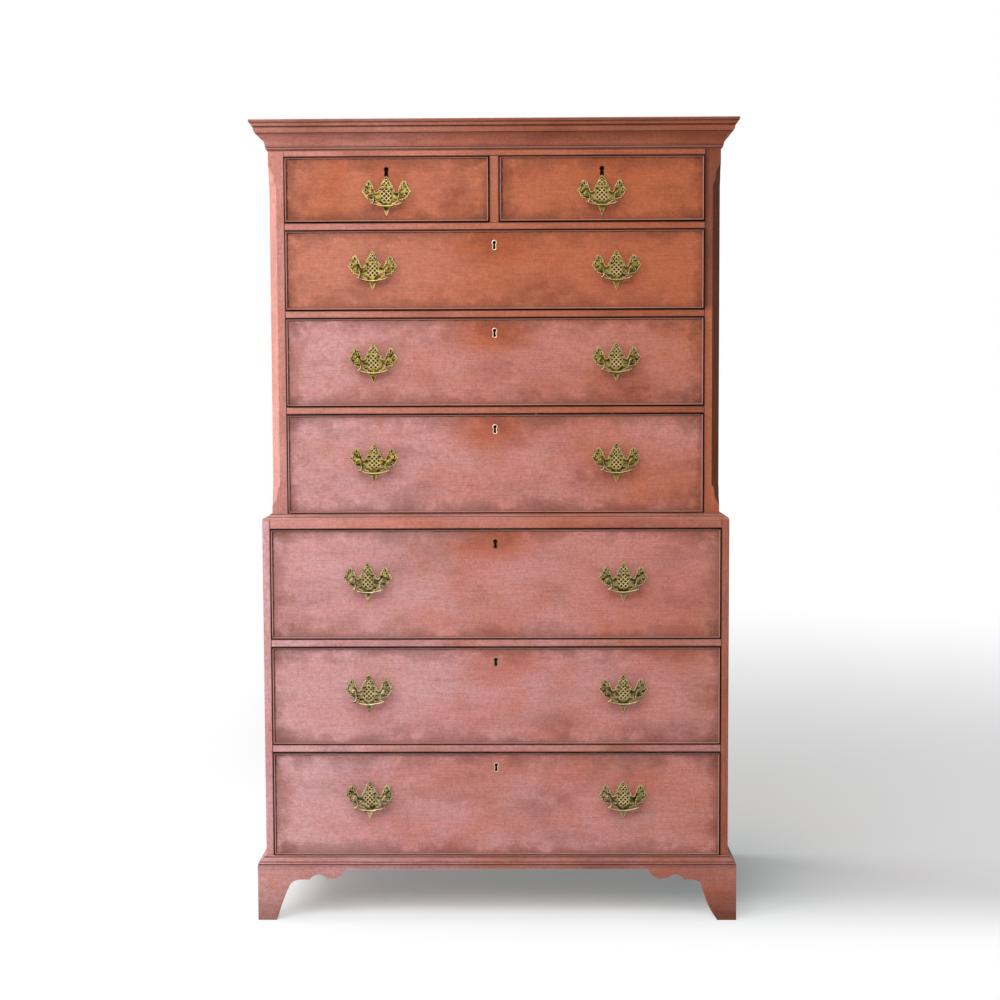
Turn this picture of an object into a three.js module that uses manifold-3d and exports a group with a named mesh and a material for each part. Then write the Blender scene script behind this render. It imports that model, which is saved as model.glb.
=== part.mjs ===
import * as THREE from "three";
import { mergeVertices } from "three/addons/utils/BufferGeometryUtils.js";
import Module from "manifold-3d";

// A Georgian chest on chest: an upper chest of five drawers with canted front corners and a cornice,
// standing on a lower chest of three drawers with a base moulding and bracket feet.
// Millimetres. X runs across the front, +Y goes to the back and +Z is up.
// The origin is on the floor, under the middle of the chest's outline.

// Fits and clearances
const seatGap = 0.3; // glue line between two seated pieces
const beadGap = 2; // shadow gap round a drawer front
const boxSideClearance = 1.2; // between a drawer side and its guide
const boxTopClearance = 5; // between a drawer side and the rail over it
const drawerBackClearance = 16; // behind a closed drawer
const cutOverrun = 1; // how far a cutter goes past the face it cuts

// Cases
const upperWidth = 1026;
const upperDepth = 510;
const upperSideThickness = 21;
const cornerPostWidth = 36; // the stile beside the upper drawers
const cornerPostDepth = 42;
const upperBottomThickness = 13.7;
const upperTopThickness = 20;
const upperRailThickness = 17;
const friezeThickness = 22;
const centreStileWidth = 22;
const waistStep = 21; // how far the lower chest stands out at the sides and the front
const lowerSideThickness = 18;
const lowerBottomThickness = 28;
const lowerTopThickness = 20;
const lowerRailThickness = 18;
const backPanelThickness = 12;
const drawerGuideHeight = 12;

// Drawer openings, from the top of the chest down
const shortOpeningHeight = 148.5;
const upperOpening1Height = 181.5;
const upperOpening2Height = 202;
const upperOpening3Height = 228;
const lowerOpening1Height = 254;
const lowerOpening2Height = 227;
const lowerOpening3Height = 241.5;

// Drawers
const drawerFrontThickness = 21;
const drawerSideThickness = 10;
const drawerBackThickness = 10;
const drawerBottomThickness = 8;
const drawerBottomRise = 7; // the bottom panel sits in grooves above the sides' lower edges
const drawerBackDrop = 12; // the back board is lower than the sides
const upperDrawerProud = 4; // the field stands in front of the rails
const lowerDrawerProud = 1.5;
const cockbeadWidth = 3.2;
const cockbeadProud = 2;
const cockbeadArcSteps = 4;

// Keyholes
const keyholeDrop = 35; // from the top of the opening to the keyhole's middle
const keyholeHeadRadius = 4;
const keyholeWaist = 4.2;
const keyholeFootWidth = 6.4;
const keyholeLength = 19;
const keyholeSteps = 8;

// Cornice, frieze and canted corners
const friezeHeight = 13;
const corniceHeight = 66;
const corniceReach = 38;
const corniceLip = 6; // the cornice stands above the top board
const cantWidth = 18;
const cantBottomMargin = 33;
const cantTopMargin = 20;
const cantStopLength = 46;

// Waist and base mouldings
const waistHeight = upperBottomThickness; // level with the floor that the drawer over it slides on
const waistReach = 20;
const baseReach = 18;
const baseTopFillet = 4;
const baseFasciaHeight = 9;

// Bracket feet
const footHeight = 119.5;
const bracketLength = 204;
const bracketThickness = 20;
const bracketToe = 42.5; // width of the foot where it meets the floor
const rightFootBelly = 9; // how much fuller the right foot's front is cut over its toe
const bracketShoulder = 24; // depth of the bracket along its scalloped part
const rearBraceLength = 118; // the plain board across the back of a back foot
const glueBlockWidth = 17; // hidden behind the foot's inner edge
const glueBlockRise = 6; // the block stops short of the floor

// Brass handles
const upperHandleSpread = 554; // between the two handles of an upper long drawer
const lowerHandleSpread = 585;
const shortHandleRise = -11; // of the pivots over the middle of the opening
const upperHandle1Rise = 3;
const upperHandle2Rise = 3;
const upperHandle3Rise = 6;
const lowerHandle1Rise = 9;
const lowerHandle2Rise = 9;
const lowerHandle3Rise = 14;
const plateWidth = 112;
const plateRise = 41.5; // top point over the pivots
const plateDrop = 49.5; // tail under the pivots
const plateThickness = 1.6;
const postSpread = 70;
const postStandoff = 9; // pivot axis in front of the plate
const postStemRadius = 2.6;
const postHeadRadius = 4.2;
const postHeadLength = 7;
const postSides = 8;
const latticePitch = 9;
const latticeHole = 5.2; // across the corners of a diamond piercing
const bailRadius = 1.7;
const bailDrop = 28.5;
const bailBowReach = 31; // half the width of the bow at its corners
const bailSetBack = 1; // the bow hangs a little closer to the plate than the pivots
const bailPinLength = 4; // how far a pin enters its post
const bailPinClearance = 0.4;
const bailArmClearance = 0.5;
const bailSides = 6;
const bailSteps = 24;

const wasm = await Module();
wasm.setup();

// Solids

// A closed geometry as a solid that can be joined and cut.
function solidOf(geometry) {
  const bare = geometry.clone();
  bare.deleteAttribute("normal");
  bare.deleteAttribute("uv");
  const merged = mergeVertices(bare);
  const vertProperties = merged.attributes.position.array;
  const triVerts = new Uint32Array(merged.index.array);
  return new wasm.Manifold(new wasm.Mesh({ numProp: 3, vertProperties, triVerts }));
}

function geometryOf(solid) {
  const mesh = solid.getMesh();
  const geometry = new THREE.BufferGeometry();
  geometry.setAttribute("position", new THREE.BufferAttribute(mesh.vertProperties, 3));
  geometry.setIndex(new THREE.BufferAttribute(mesh.triVerts, 1));
  const faceted = geometry.toNonIndexed();
  faceted.computeVertexNormals();
  return faceted;
}

function join(first, ...others) {
  return others.reduce((whole, piece) => whole.add(piece), first);
}

function cut(first, ...others) {
  return others.reduce((whole, piece) => whole.subtract(piece), first);
}

// A board given by its two faces along each direction.
function board([left, right], [front, back], [bottom, top]) {
  const geometry = new THREE.BoxGeometry(right - left, back - front, top - bottom);
  geometry.translate((left + right) / 2, (front + back) / 2, (bottom + top) / 2);
  return solidOf(geometry);
}

// Two boards that mirror each other across the middle of the chest.
function boardPair([inner, outer], depths, heights) {
  return join(board([inner, outer], depths, heights), board([-outer, -inner], depths, heights));
}

// A solid through rings of equal length. The rings follow an open run, which gets two flat ends,
// or go round and close on the first ring.
function loft(rings, section, closed) {
  const count = section.length;
  const positions = rings.flat().flatMap((point) => point.toArray());
  const triangles = [];
  const spans = closed ? rings.length : rings.length - 1;
  for (let span = 0; span < spans; span++) {
    const here = span * count;
    const next = ((span + 1) % rings.length) * count;
    for (let i = 0; i < count; i++) {
      const j = (i + 1) % count;
      triangles.push(here + i, here + j, next + j, here + i, next + j, next + i);
    }
  }
  if (!closed) {
    const last = (rings.length - 1) * count;
    for (const [a, b, c] of THREE.ShapeUtils.triangulateShape(section, []))
      triangles.push(a, c, b, last + a, last + b, last + c);
  }
  const vertProperties = new Float32Array(positions);
  const triVerts = new Uint32Array(triangles);
  return new wasm.Manifold(new wasm.Mesh({ numProp: 3, vertProperties, triVerts }));
}

// Points of a quarter of an ellipse from one place to another. It leaves the first place
// along the side named by startsUpright: true for up or down, false for in or out.
function quarterRound(from, to, startsUpright, steps) {
  const points = [];
  for (let i = 1; i < steps; i++) {
    const angle = (i / steps) * (Math.PI / 2);
    const slow = 1 - Math.cos(angle);
    const quick = Math.sin(angle);
    const across = startsUpright ? slow : quick;
    const upright = startsUpright ? quick : slow;
    const x = from.x + (to.x - from.x) * across;
    const y = from.y + (to.y - from.y) * upright;
    points.push(new THREE.Vector2(x, y));
  }
  return points;
}

function at(reach, rise) {
  return new THREE.Vector2(reach, rise);
}

// Mouldings

// A moulding mitred round the front and both sides of a case. The section gives reach from
// the case's face and rise, anticlockwise from the foot of its back.
function mouldingRound(section, halfWidth, depth) {
  const run = (side, y) => section.map((p) => new THREE.Vector3(side * (halfWidth + p.x), y(p.x), p.y));
  const atBack = () => depth;
  const atFront = (reach) => -reach;
  const rings = [run(1, atBack), run(1, atFront), run(-1, atFront), run(-1, atBack)];
  return loft(rings, section, false);
}

// Cornice section: top fillet, ogee, fascia, soffit, deep cove and bead, as shares of its size.
function corniceSection() {
  const reach = (share) => corniceReach * share;
  const rise = (share) => corniceHeight * share;
  const steps = 5;
  const beadFoot = at(reach(0.03), 0);
  const beadEdge = at(reach(0.14), rise(0.05));
  const beadTop = at(reach(0.14), rise(0.12));
  const coveFoot = at(reach(0.16), rise(0.14));
  const coveTop = at(reach(0.6), rise(0.55));
  const soffitEdge = at(reach(0.68), rise(0.58));
  const fasciaTop = at(reach(0.76), rise(0.76));
  const ogeeFoot = at(reach(0.8), rise(0.79));
  const ogeeTop = at(reach(0.95), rise(0.89));
  const filletFoot = at(reach(1), rise(0.92));
  return [
    at(seatGap, 0),
    beadFoot,
    ...quarterRound(beadFoot, beadEdge, false, 3),
    beadEdge,
    beadTop,
    coveFoot,
    ...quarterRound(coveFoot, coveTop, true, steps),
    coveTop,
    soffitEdge,
    ...quarterRound(soffitEdge, fasciaTop, true, 3),
    fasciaTop,
    ogeeFoot,
    ...quarterRound(ogeeFoot, ogeeTop, false, 3),
    ogeeTop,
    filletFoot,
    at(corniceReach, corniceHeight),
    at(seatGap, corniceHeight),
  ];
}

// Waist section: it sits on the lower chest and hugs the foot of the upper chest.
function waistSection() {
  const reach = (share) => waistReach * share;
  const rise = (share) => waistHeight * share;
  const roundFoot = at(reach(1), rise(0.12));
  const roundTop = at(reach(0.6), rise(0.5));
  const coveFoot = at(reach(0.54), rise(0.56));
  const coveTop = at(reach(0.2), rise(0.92));
  return [
    at(seatGap, 0),
    at(waistReach, 0),
    roundFoot,
    ...quarterRound(roundFoot, roundTop, true, 3),
    roundTop,
    coveFoot,
    ...quarterRound(coveFoot, coveTop, false, 3),
    coveTop,
    at(reach(0.2), waistHeight),
    at(seatGap, waistHeight),
  ];
}

// Base section: plain fascia over the feet, a bead, an ogee and a top fillet.
function baseSection() {
  const height = lowerBottomThickness;
  const shoulder = baseReach - baseTopFillet;
  const reach = (share) => baseTopFillet + shoulder * share;
  const rise = (share) => baseFasciaHeight + (height - baseFasciaHeight) * share;
  const beadFoot = at(baseReach, baseFasciaHeight);
  const beadTop = at(reach(0.8), rise(0.2));
  const ogeeFoot = at(reach(0.7), rise(0.26));
  const ogeeMiddle = at(reach(0.36), rise(0.52));
  const ogeeTop = at(baseTopFillet, rise(0.82));
  return [
    at(seatGap, 0),
    at(baseReach, 0),
    beadFoot,
    ...quarterRound(beadFoot, beadTop, true, 3),
    beadTop,
    ogeeFoot,
    ...quarterRound(ogeeFoot, ogeeMiddle, true, 3),
    ogeeMiddle,
    ...quarterRound(ogeeMiddle, ogeeTop, false, 3),
    ogeeTop,
    at(baseTopFillet, height),
    at(seatGap, height),
  ];
}

// Cases. Each case's own frame has its origin at the middle of the foot of its front:
// y = 0 is the face of the rails and z = 0 the case's lowest face.

const upperHalf = upperWidth / 2;
const lowerHalf = upperHalf + waistStep;
const lowerDepth = upperDepth + waistStep;
const upperOpeningHalf = upperHalf - cornerPostWidth;
const lowerOpeningHalf = lowerHalf - lowerSideThickness;

// Rails carry the drawers over them, so each row of drawers stands on the one below.
function stackOf(firstFloor, railThickness, heights) {
  const floors = [];
  let floor = firstFloor;
  for (const height of heights) {
    floors.push(floor);
    floor += height + railThickness;
  }
  return floors;
}

const lowerHeights = [lowerOpening3Height, lowerOpening2Height, lowerOpening1Height];
const lowerFloors = stackOf(lowerBottomThickness, lowerRailThickness, lowerHeights);
const lowerTopFace = lowerFloors.at(-1) + lowerHeights.at(-1) + lowerTopThickness;
const upperHeights = [upperOpening3Height, upperOpening2Height, upperOpening1Height, shortOpeningHeight];
const upperFloors = stackOf(upperBottomThickness, upperRailThickness, upperHeights);
const friezeFoot = upperFloors.at(-1) + upperHeights.at(-1);
const corniceFoot = friezeFoot + friezeHeight;
const upperTopFace = corniceFoot + corniceHeight - corniceLip;

// The cutter for one canted corner. Its depth eases in and out over lamb's-tongue stops.
function cantCutter(side) {
  const stopShares = [
    [0, -cutOverrun / cantWidth],
    [0.02, 0.16],
    [0.07, 0.44],
    [0.17, 0.66],
    [0.4, 0.75],
    [0.7, 0.79],
    [0.9, 0.89],
    [1, 1],
  ];
  const foot = cantBottomMargin;
  const head = friezeFoot - cantTopMargin;
  const lowerStop = stopShares.map(([along, deep]) => [foot + along * cantStopLength, deep * cantWidth]);
  const upperStop = stopShares.map(([along, deep]) => [head - along * cantStopLength, deep * cantWidth]);
  const stations = [...lowerStop, ...upperStop.reverse()];
  const o = cutOverrun;
  const rings = stations.map(([z, depth]) => {
    const ring = [
      new THREE.Vector3(side * (upperHalf - depth - o), -o, z),
      new THREE.Vector3(side * (upperHalf + o), -o, z),
      new THREE.Vector3(side * (upperHalf + o), depth + o, z),
    ];
    return side > 0 ? ring : ring.reverse();
  });
  return loft(rings, [at(0, 0), at(1, 0), at(1, 1)], false);
}

function upperCarcase() {
  const innerHalf = upperHalf - upperSideThickness;
  const boardBack = upperDepth - backPanelThickness - seatGap;
  const sides = boardPair([innerHalf, upperHalf], [0, upperDepth], [0, upperTopFace]);
  const posts = boardPair([upperOpeningHalf, upperHalf], [0, cornerPostDepth], [0, upperTopFace]);
  const bottom = board([-upperHalf, upperHalf], [0, boardBack], [0, upperBottomThickness]);
  const topFoot = upperTopFace - upperTopThickness;
  const top = board([-upperHalf, upperHalf], [0, boardBack], [topFoot, upperTopFace]);
  const frieze = board([-upperHalf, upperHalf], [0, friezeThickness], [friezeFoot, upperTopFace]);
  const guides = boardPair(
    [upperOpeningHalf, innerHalf],
    [cornerPostDepth, boardBack],
    [upperBottomThickness, upperBottomThickness + drawerGuideHeight],
  );
  return cut(join(sides, posts, bottom, top, frieze, guides), cantCutter(1), cantCutter(-1));
}

function lowerCarcase() {
  const boardBack = lowerDepth - backPanelThickness - seatGap;
  const sides = boardPair([lowerOpeningHalf, lowerHalf], [0, lowerDepth], [0, lowerTopFace]);
  const bottom = board([-lowerHalf, lowerHalf], [0, boardBack], [0, lowerBottomThickness]);
  const topFoot = lowerTopFace - lowerTopThickness;
  const top = board([-lowerHalf, lowerHalf], [0, boardBack], [topFoot, lowerTopFace]);
  return join(sides, bottom, top);
}

function backPanel(innerHalf, depth, height) {
  const half = innerHalf - seatGap;
  return board([-half, half], [depth - backPanelThickness, depth], [seatGap, height - seatGap]);
}

// An upper rail with its dustboard: notched round the corner posts, with a drawer guide along each side.
function upperRail() {
  const frontHalf = upperOpeningHalf - seatGap;
  const backHalf = upperHalf - upperSideThickness - seatGap;
  const notch = cornerPostDepth + seatGap;
  const boardBack = upperDepth - backPanelThickness - seatGap;
  const thickness = [0, upperRailThickness];
  const guideTop = upperRailThickness + drawerGuideHeight;
  return join(
    board([-frontHalf, frontHalf], [0, boardBack], thickness),
    board([-backHalf, backHalf], [notch, boardBack], thickness),
    boardPair([upperOpeningHalf, backHalf], [notch, boardBack], [0, guideTop]),
  );
}

// The rail under the short drawers, with the stile and partition that part them.
function upperRailWithStile() {
  const half = centreStileWidth / 2;
  const boardBack = upperDepth - backPanelThickness - seatGap;
  const stileTop = upperRailThickness + shortOpeningHeight - seatGap;
  return join(upperRail(), board([-half, half], [0, boardBack], [0, stileTop]));
}

function lowerRail() {
  const half = lowerOpeningHalf - seatGap;
  const boardBack = lowerDepth - backPanelThickness - seatGap;
  return board([-half, half], [0, boardBack], [0, lowerRailThickness]);
}

// Bracket feet

// Outline of one bracket: x runs from the outer corner along the bracket, y up from the floor.
// The belly is how far the edge over the toe stands out beyond the usual line.
// The scallops are shares of the shoulder that hangs under the case.
function bracketShape(belly = 0) {
  const top = footHeight - seatGap;
  const shoulder = top - bracketShoulder;
  const scallopLength = bracketLength - bracketToe;
  const x = (share) => bracketToe + scallopLength * share;
  const drop = (share) => top - bracketShoulder * share;
  const shape = new THREE.Shape();
  shape.moveTo(0, 0);
  shape.lineTo(bracketToe, 0);
  const archFoot = x(0.19) + belly * 0.75;
  shape.bezierCurveTo(
    x(0.1) + belly, shoulder * 0.38, x(0.15) + belly, shoulder * 0.58, archFoot, shoulder * 0.8,
  );
  shape.quadraticCurveTo(x(0.23) + belly * 0.75, shoulder, x(0.37), shoulder);
  shape.lineTo(x(0.48), drop(1));
  shape.quadraticCurveTo(x(0.56), drop(0.54), x(0.64), drop(0.54));
  shape.quadraticCurveTo(x(0.7), drop(0.54), x(0.75), drop(0.93));
  shape.lineTo(x(0.85), drop(0.95));
  shape.quadraticCurveTo(x(0.95), drop(0.75), x(1), drop(0));
  shape.lineTo(0, top);
  shape.closePath();
  return shape;
}

// The unseen back of a back foot is a plain board with one slanting end.
function rearBraceShape() {
  const top = footHeight - seatGap;
  return new THREE.Shape([at(0, 0), at(bracketToe, 0), at(rearBraceLength, top), at(0, top)]);
}

// A foot in its own frame: its outer corner is at the origin, one board runs along +X behind the
// front face and the other along +Y behind the outer side, with a glue block in their corner.
function bracketFoot(alongX, alongY) {
  const settings = { depth: bracketThickness, bevelEnabled: false, curveSegments: 3 };
  const front = new THREE.ExtrudeGeometry(alongX, settings);
  front.rotateX(Math.PI / 2);
  front.translate(0, bracketThickness, 0);
  const side = new THREE.ExtrudeGeometry(alongY, settings);
  side.rotateX(Math.PI / 2);
  side.rotateZ(Math.PI / 2);
  const inner = bracketThickness - cutOverrun;
  const blockEdge = bracketThickness + glueBlockWidth;
  const top = footHeight - seatGap;
  const block = board([inner, blockEdge], [inner, blockEdge], [glueBlockRise, top]);
  return join(solidOf(front), solidOf(side), block);
}

// Drawers. A drawer's own frame has its origin at the middle of the foot of its opening,
// on the face of the front: y = 0 is the field inside the cockbead.

function keyholeShape() {
  const headTurn = Math.asin(keyholeWaist / 2 / keyholeHeadRadius);
  const start = -Math.PI / 2 + headTurn;
  const end = (Math.PI * 3) / 2 - headTurn;
  const foot = keyholeHeadRadius - keyholeLength;
  const shape = new THREE.Shape();
  for (let i = 0; i <= keyholeSteps; i++) {
    const angle = start + ((end - start) * i) / keyholeSteps;
    const x = keyholeHeadRadius * Math.cos(angle);
    const y = keyholeHeadRadius * Math.sin(angle);
    if (i === 0) shape.moveTo(x, y);
    else shape.lineTo(x, y);
  }
  shape.lineTo(-keyholeFootWidth / 2, foot);
  shape.lineTo(keyholeFootWidth / 2, foot);
  shape.closePath();
  return shape;
}

// The cockbead: a thin rounded strip that frames the front and stands proud of it.
function cockbead(halfWidth, bottom, top) {
  const radius = cockbeadWidth / 2;
  const nose = Math.min(radius, cockbeadProud);
  const section = [at(0, drawerFrontThickness / 2)];
  for (let i = 0; i <= cockbeadArcSteps; i++) {
    const angle = (Math.PI * i) / cockbeadArcSteps;
    section.push(at(radius - radius * Math.cos(angle), nose - cockbeadProud - nose * Math.sin(angle)));
  }
  section.push(at(cockbeadWidth, drawerFrontThickness / 2));
  const corners = [
    [-1, -1],
    [-1, 1],
    [1, 1],
    [1, -1],
  ];
  const middle = (bottom + top) / 2;
  const halfHeight = (top - bottom) / 2;
  const rings = corners.map(([sideways, upward]) =>
    section.map(
      (p) => new THREE.Vector3(sideways * (halfWidth - p.x), p.y, middle + upward * (halfHeight - p.x)),
    ),
  );
  return loft(rings, section, true);
}

function drawerFront(width, height) {
  const half = width / 2 - beadGap;
  const bottom = beadGap;
  const top = height - beadGap;
  const field = board([-half, half], [0, drawerFrontThickness], [bottom, top]);
  const depth = drawerFrontThickness + 2 * cutOverrun;
  const keyhole = new THREE.ExtrudeGeometry(keyholeShape(), { depth, bevelEnabled: false });
  keyhole.rotateX(Math.PI / 2);
  const headRise = keyholeLength / 2 - keyholeHeadRadius;
  keyhole.translate(0, drawerFrontThickness + cutOverrun, height - keyholeDrop + headRise);
  return cut(join(field, cockbead(half, bottom, top)), solidOf(keyhole));
}

function drawerBox(width, height, depth) {
  const outer = width / 2 - boxSideClearance;
  const inner = outer - drawerSideThickness;
  const front = drawerFrontThickness + seatGap;
  const top = height - boxTopClearance;
  const backFace = depth - drawerBackThickness;
  const bottomTop = drawerBottomRise + drawerBottomThickness;
  return join(
    boardPair([inner, outer], [front, depth], [seatGap, top]),
    board([-outer, outer], [backFace, depth], [drawerBottomRise, top - drawerBackDrop]),
    board([-outer, outer], [front, depth], [drawerBottomRise, bottomTop]),
  );
}

// Handles. A handle's own frame has its origin midway between the posts, on the pivot axis.

// The right half of the plate's outline, from its top point down to its tail, as shares of
// half the plate's width and of its rise over the pivots or its drop under them.
const plateHalfOutlineShares = [
  [0.14, 0.8],
  [0.12, 0.7],
  [0.24, 0.6],
  [0.22, 0.48],
  [0.32, 0.36],
  [0.31, 0.22],
  [0.47, 0.1],
  [0.54, 0.42],
  [0.66, 0.72],
  [0.8, 0.72],
  [0.86, 0.5],
  [0.93, 0.36],
  [1, 0.17],
  [0.89, 0.05],
  [0.84, -0.18],
  [0.62, -0.27],
  [0.4, -0.43],
  [0.14, -0.6],
  [0.07, -0.8],
];

// Middles of the diamond piercings, as shares of the lattice's pitch.
const latticeShares = [
  [0, 2.6],
  [0, 1],
  [-0.75, 0.25],
  [0.75, 0.25],
  [0, -0.5],
];

function plateShape() {
  const half = plateWidth / 2;
  const height = (share) => (share > 0 ? plateRise * share : plateDrop * share);
  const right = plateHalfOutlineShares.map(([across, up]) => at(half * across, height(up)));
  const left = right.map((p) => at(-p.x, p.y)).reverse();
  const outline = [at(0, plateRise), ...left.reverse(), at(0, -plateDrop), ...right.reverse()];
  const shape = new THREE.Shape(outline);
  const reach = latticeHole / 2;
  for (const [across, up] of latticeShares) {
    const x = across * latticePitch;
    const y = up * latticePitch;
    const diamond = [at(x + reach, y), at(x, y + reach), at(x - reach, y), at(x, y - reach)];
    shape.holes.push(new THREE.Path(diamond));
  }
  return shape;
}

// One post: a stem through the plate with a turned head, cross-drilled from inside for the bail's pin.
function handlePost(side) {
  const nose = postHeadLength / 2;
  const neckShare = 1.25;
  const headFootShare = 0.6;
  const headEdgeShare = 0.55;
  const noseShare = 0.6;
  const stemEnd = -postStandoff - plateThickness / 2;
  const profile = [
    at(0, stemEnd),
    at(postStemRadius, stemEnd),
    at(postStemRadius, -nose * neckShare),
    at(postHeadRadius, -nose * headFootShare),
    at(postHeadRadius, nose * headEdgeShare),
    at(postHeadRadius * noseShare, nose),
    at(0, nose),
  ];
  const post = new THREE.LatheGeometry(profile, postSides);
  post.rotateX(Math.PI);
  post.translate((side * postSpread) / 2, 0, 0);
  const boreRadius = (bailRadius + bailPinClearance) / Math.cos(Math.PI / postSides);
  const boreLength = postHeadRadius + bailPinLength;
  const bore = new THREE.CylinderGeometry(boreRadius, boreRadius, boreLength, postSides);
  bore.rotateZ(Math.PI / 2);
  const boreEnd = postSpread / 2 - postHeadRadius + bailPinLength + seatGap;
  bore.translate(side * (boreEnd - boreLength / 2), 0, 0);
  return { post: solidOf(post), bore: solidOf(bore) };
}

function handlePlate() {
  const settings = { depth: plateThickness, bevelEnabled: false };
  const plate = new THREE.ExtrudeGeometry(plateShape(), settings);
  plate.rotateX(Math.PI / 2);
  plate.translate(0, postStandoff + plateThickness, 0);
  const left = handlePost(-1);
  const right = handlePost(1);
  return cut(join(solidOf(plate), left.post, right.post), left.bore, right.bore);
}

// The bail: a bow that hangs from two pins turned out into the posts.
function handleBail() {
  const pinEnd = postSpread / 2 - postHeadRadius + bailPinLength;
  const arm = postSpread / 2 - postHeadRadius - bailArmClearance - bailRadius;
  const reaches = [pinEnd, arm + bailRadius, arm, arm - bailRadius / 2, arm];
  const bowShares = [1, 0.85, 0.45];
  reaches.push(...bowShares.map((share) => bailBowReach * share));
  const fallShares = [0, 0, 0.09, 0.4, 0.6, 0.76, 0.86, 0.97];
  const setBackShares = [0, 0, 0, 0.2, 0.5, 0.7, 0.9, 1];
  const place = (side) => (reach, i) =>
    new THREE.Vector3(side * reach, bailSetBack * setBackShares[i], -bailDrop * fallShares[i]);
  const bottom = new THREE.Vector3(0, bailSetBack, -bailDrop);
  const points = [...reaches.map(place(-1)), bottom, ...reaches.map(place(1)).reverse()];
  const path = new THREE.CatmullRomCurve3(points, false, "centripetal");
  const section = new THREE.Shape(
    Array.from({ length: bailSides }, (_, i) => {
      const angle = (2 * Math.PI * i) / bailSides;
      return at(bailRadius * Math.cos(angle), bailRadius * Math.sin(angle));
    }),
  );
  return solidOf(new THREE.ExtrudeGeometry(section, { steps: bailSteps, extrudePath: path }));
}

// Finishes

const washedWood = new THREE.MeshStandardMaterial({ color: 0xb9735c, roughness: 0.62, metalness: 0 });
const rawWood = new THREE.MeshStandardMaterial({ color: 0xa98257, roughness: 0.75, metalness: 0 });
const agedBrass = new THREE.MeshStandardMaterial({ color: 0x9a8c4e, roughness: 0.38, metalness: 1 });

function piece(name, geometry, material) {
  const mesh = new THREE.Mesh(geometry, material);
  mesh.name = name;
  return mesh;
}

// Assembly

const plateGeometry = geometryOf(handlePlate());
const bailGeometry = geometryOf(handleBail());

function drawer(row) {
  const { name, width, height, depth, handles } = row;
  const group = new THREE.Group();
  group.add(piece(name + "_front", geometryOf(drawerFront(width, height)), washedWood));
  group.add(piece(name + "_box", geometryOf(drawerBox(width, height, depth)), rawWood));
  for (const { suffix, x } of handles) {
    const plate = piece(name + "_plate" + suffix, plateGeometry, agedBrass);
    const bail = piece(name + "_bail" + suffix, bailGeometry, agedBrass);
    const pivot = new THREE.Group();
    pivot.position.set(x, -seatGap - plateThickness - postStandoff, height / 2 + row.handleRise);
    pivot.add(plate, bail);
    group.add(pivot);
  }
  group.position.set(row.x, -row.proud, row.floor);
  return group;
}

function pairOfHandles(spread) {
  return [
    { suffix: "_left", x: -spread / 2 },
    { suffix: "_right", x: spread / 2 },
  ];
}

function drawerDepth(caseDepth, proud) {
  return caseDepth - backPanelThickness - drawerBackClearance + proud;
}

const frontmost = Math.max(
  upperDepth + corniceReach,
  lowerDepth + baseReach,
  lowerDepth + lowerDrawerProud + seatGap + plateThickness + postStandoff + postHeadLength / 2,
);

const lowerChest = new THREE.Group();
lowerChest.position.set(0, frontmost / 2 - lowerDepth, footHeight);
lowerChest.add(piece("lower_carcase", geometryOf(lowerCarcase()), washedWood));
lowerChest.add(
  piece("lower_back_panel", geometryOf(backPanel(lowerOpeningHalf, lowerDepth, lowerTopFace)), rawWood),
);
const lowerRailGeometry = geometryOf(lowerRail());
[2, 1].forEach((below, i) => {
  const rail = piece("rail_under_lower_drawer_" + below, lowerRailGeometry, washedWood);
  rail.position.z = lowerFloors[i + 1] - lowerRailThickness;
  lowerChest.add(rail);
});
lowerChest.add(
  piece("base_moulding", geometryOf(mouldingRound(baseSection(), lowerHalf, lowerDepth)), washedWood),
);
const waist = piece(
  "waist_moulding",
  geometryOf(mouldingRound(waistSection(), upperHalf, upperDepth)),
  washedWood,
);
waist.position.set(0, waistStep, lowerTopFace + seatGap);
lowerChest.add(waist);

const frontLeftFootGeometry = geometryOf(bracketFoot(bracketShape(), bracketShape()));
const frontRightFootGeometry = geometryOf(bracketFoot(bracketShape(), bracketShape(rightFootBelly)));
const backRightFootGeometry = geometryOf(bracketFoot(rearBraceShape(), bracketShape()));
const backLeftFootGeometry = geometryOf(bracketFoot(bracketShape(), rearBraceShape()));
const baseHalf = lowerHalf + baseReach;
for (const [name, geometry, x, y, turn] of [
  ["foot_front_left", frontLeftFootGeometry, -baseHalf, -baseReach, 0],
  ["foot_front_right", frontRightFootGeometry, baseHalf, -baseReach, 1],
  ["foot_back_right", backRightFootGeometry, baseHalf, lowerDepth, 2],
  ["foot_back_left", backLeftFootGeometry, -baseHalf, lowerDepth, 3],
]) {
  const foot = piece(name, geometry, washedWood);
  foot.position.set(x, y, -footHeight);
  foot.rotation.z = (turn * Math.PI) / 2;
  lowerChest.add(foot);
}

const lowerHandleRises = [lowerHandle3Rise, lowerHandle2Rise, lowerHandle1Rise];
lowerFloors.forEach((floor, i) => {
  lowerChest.add(
    drawer({
      name: "lower_drawer_" + (lowerFloors.length - i),
      x: 0,
      floor,
      width: 2 * lowerOpeningHalf,
      height: lowerHeights[i],
      depth: drawerDepth(lowerDepth, lowerDrawerProud),
      proud: lowerDrawerProud,
      handleRise: lowerHandleRises[i],
      handles: pairOfHandles(lowerHandleSpread),
    }),
  );
});

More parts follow.
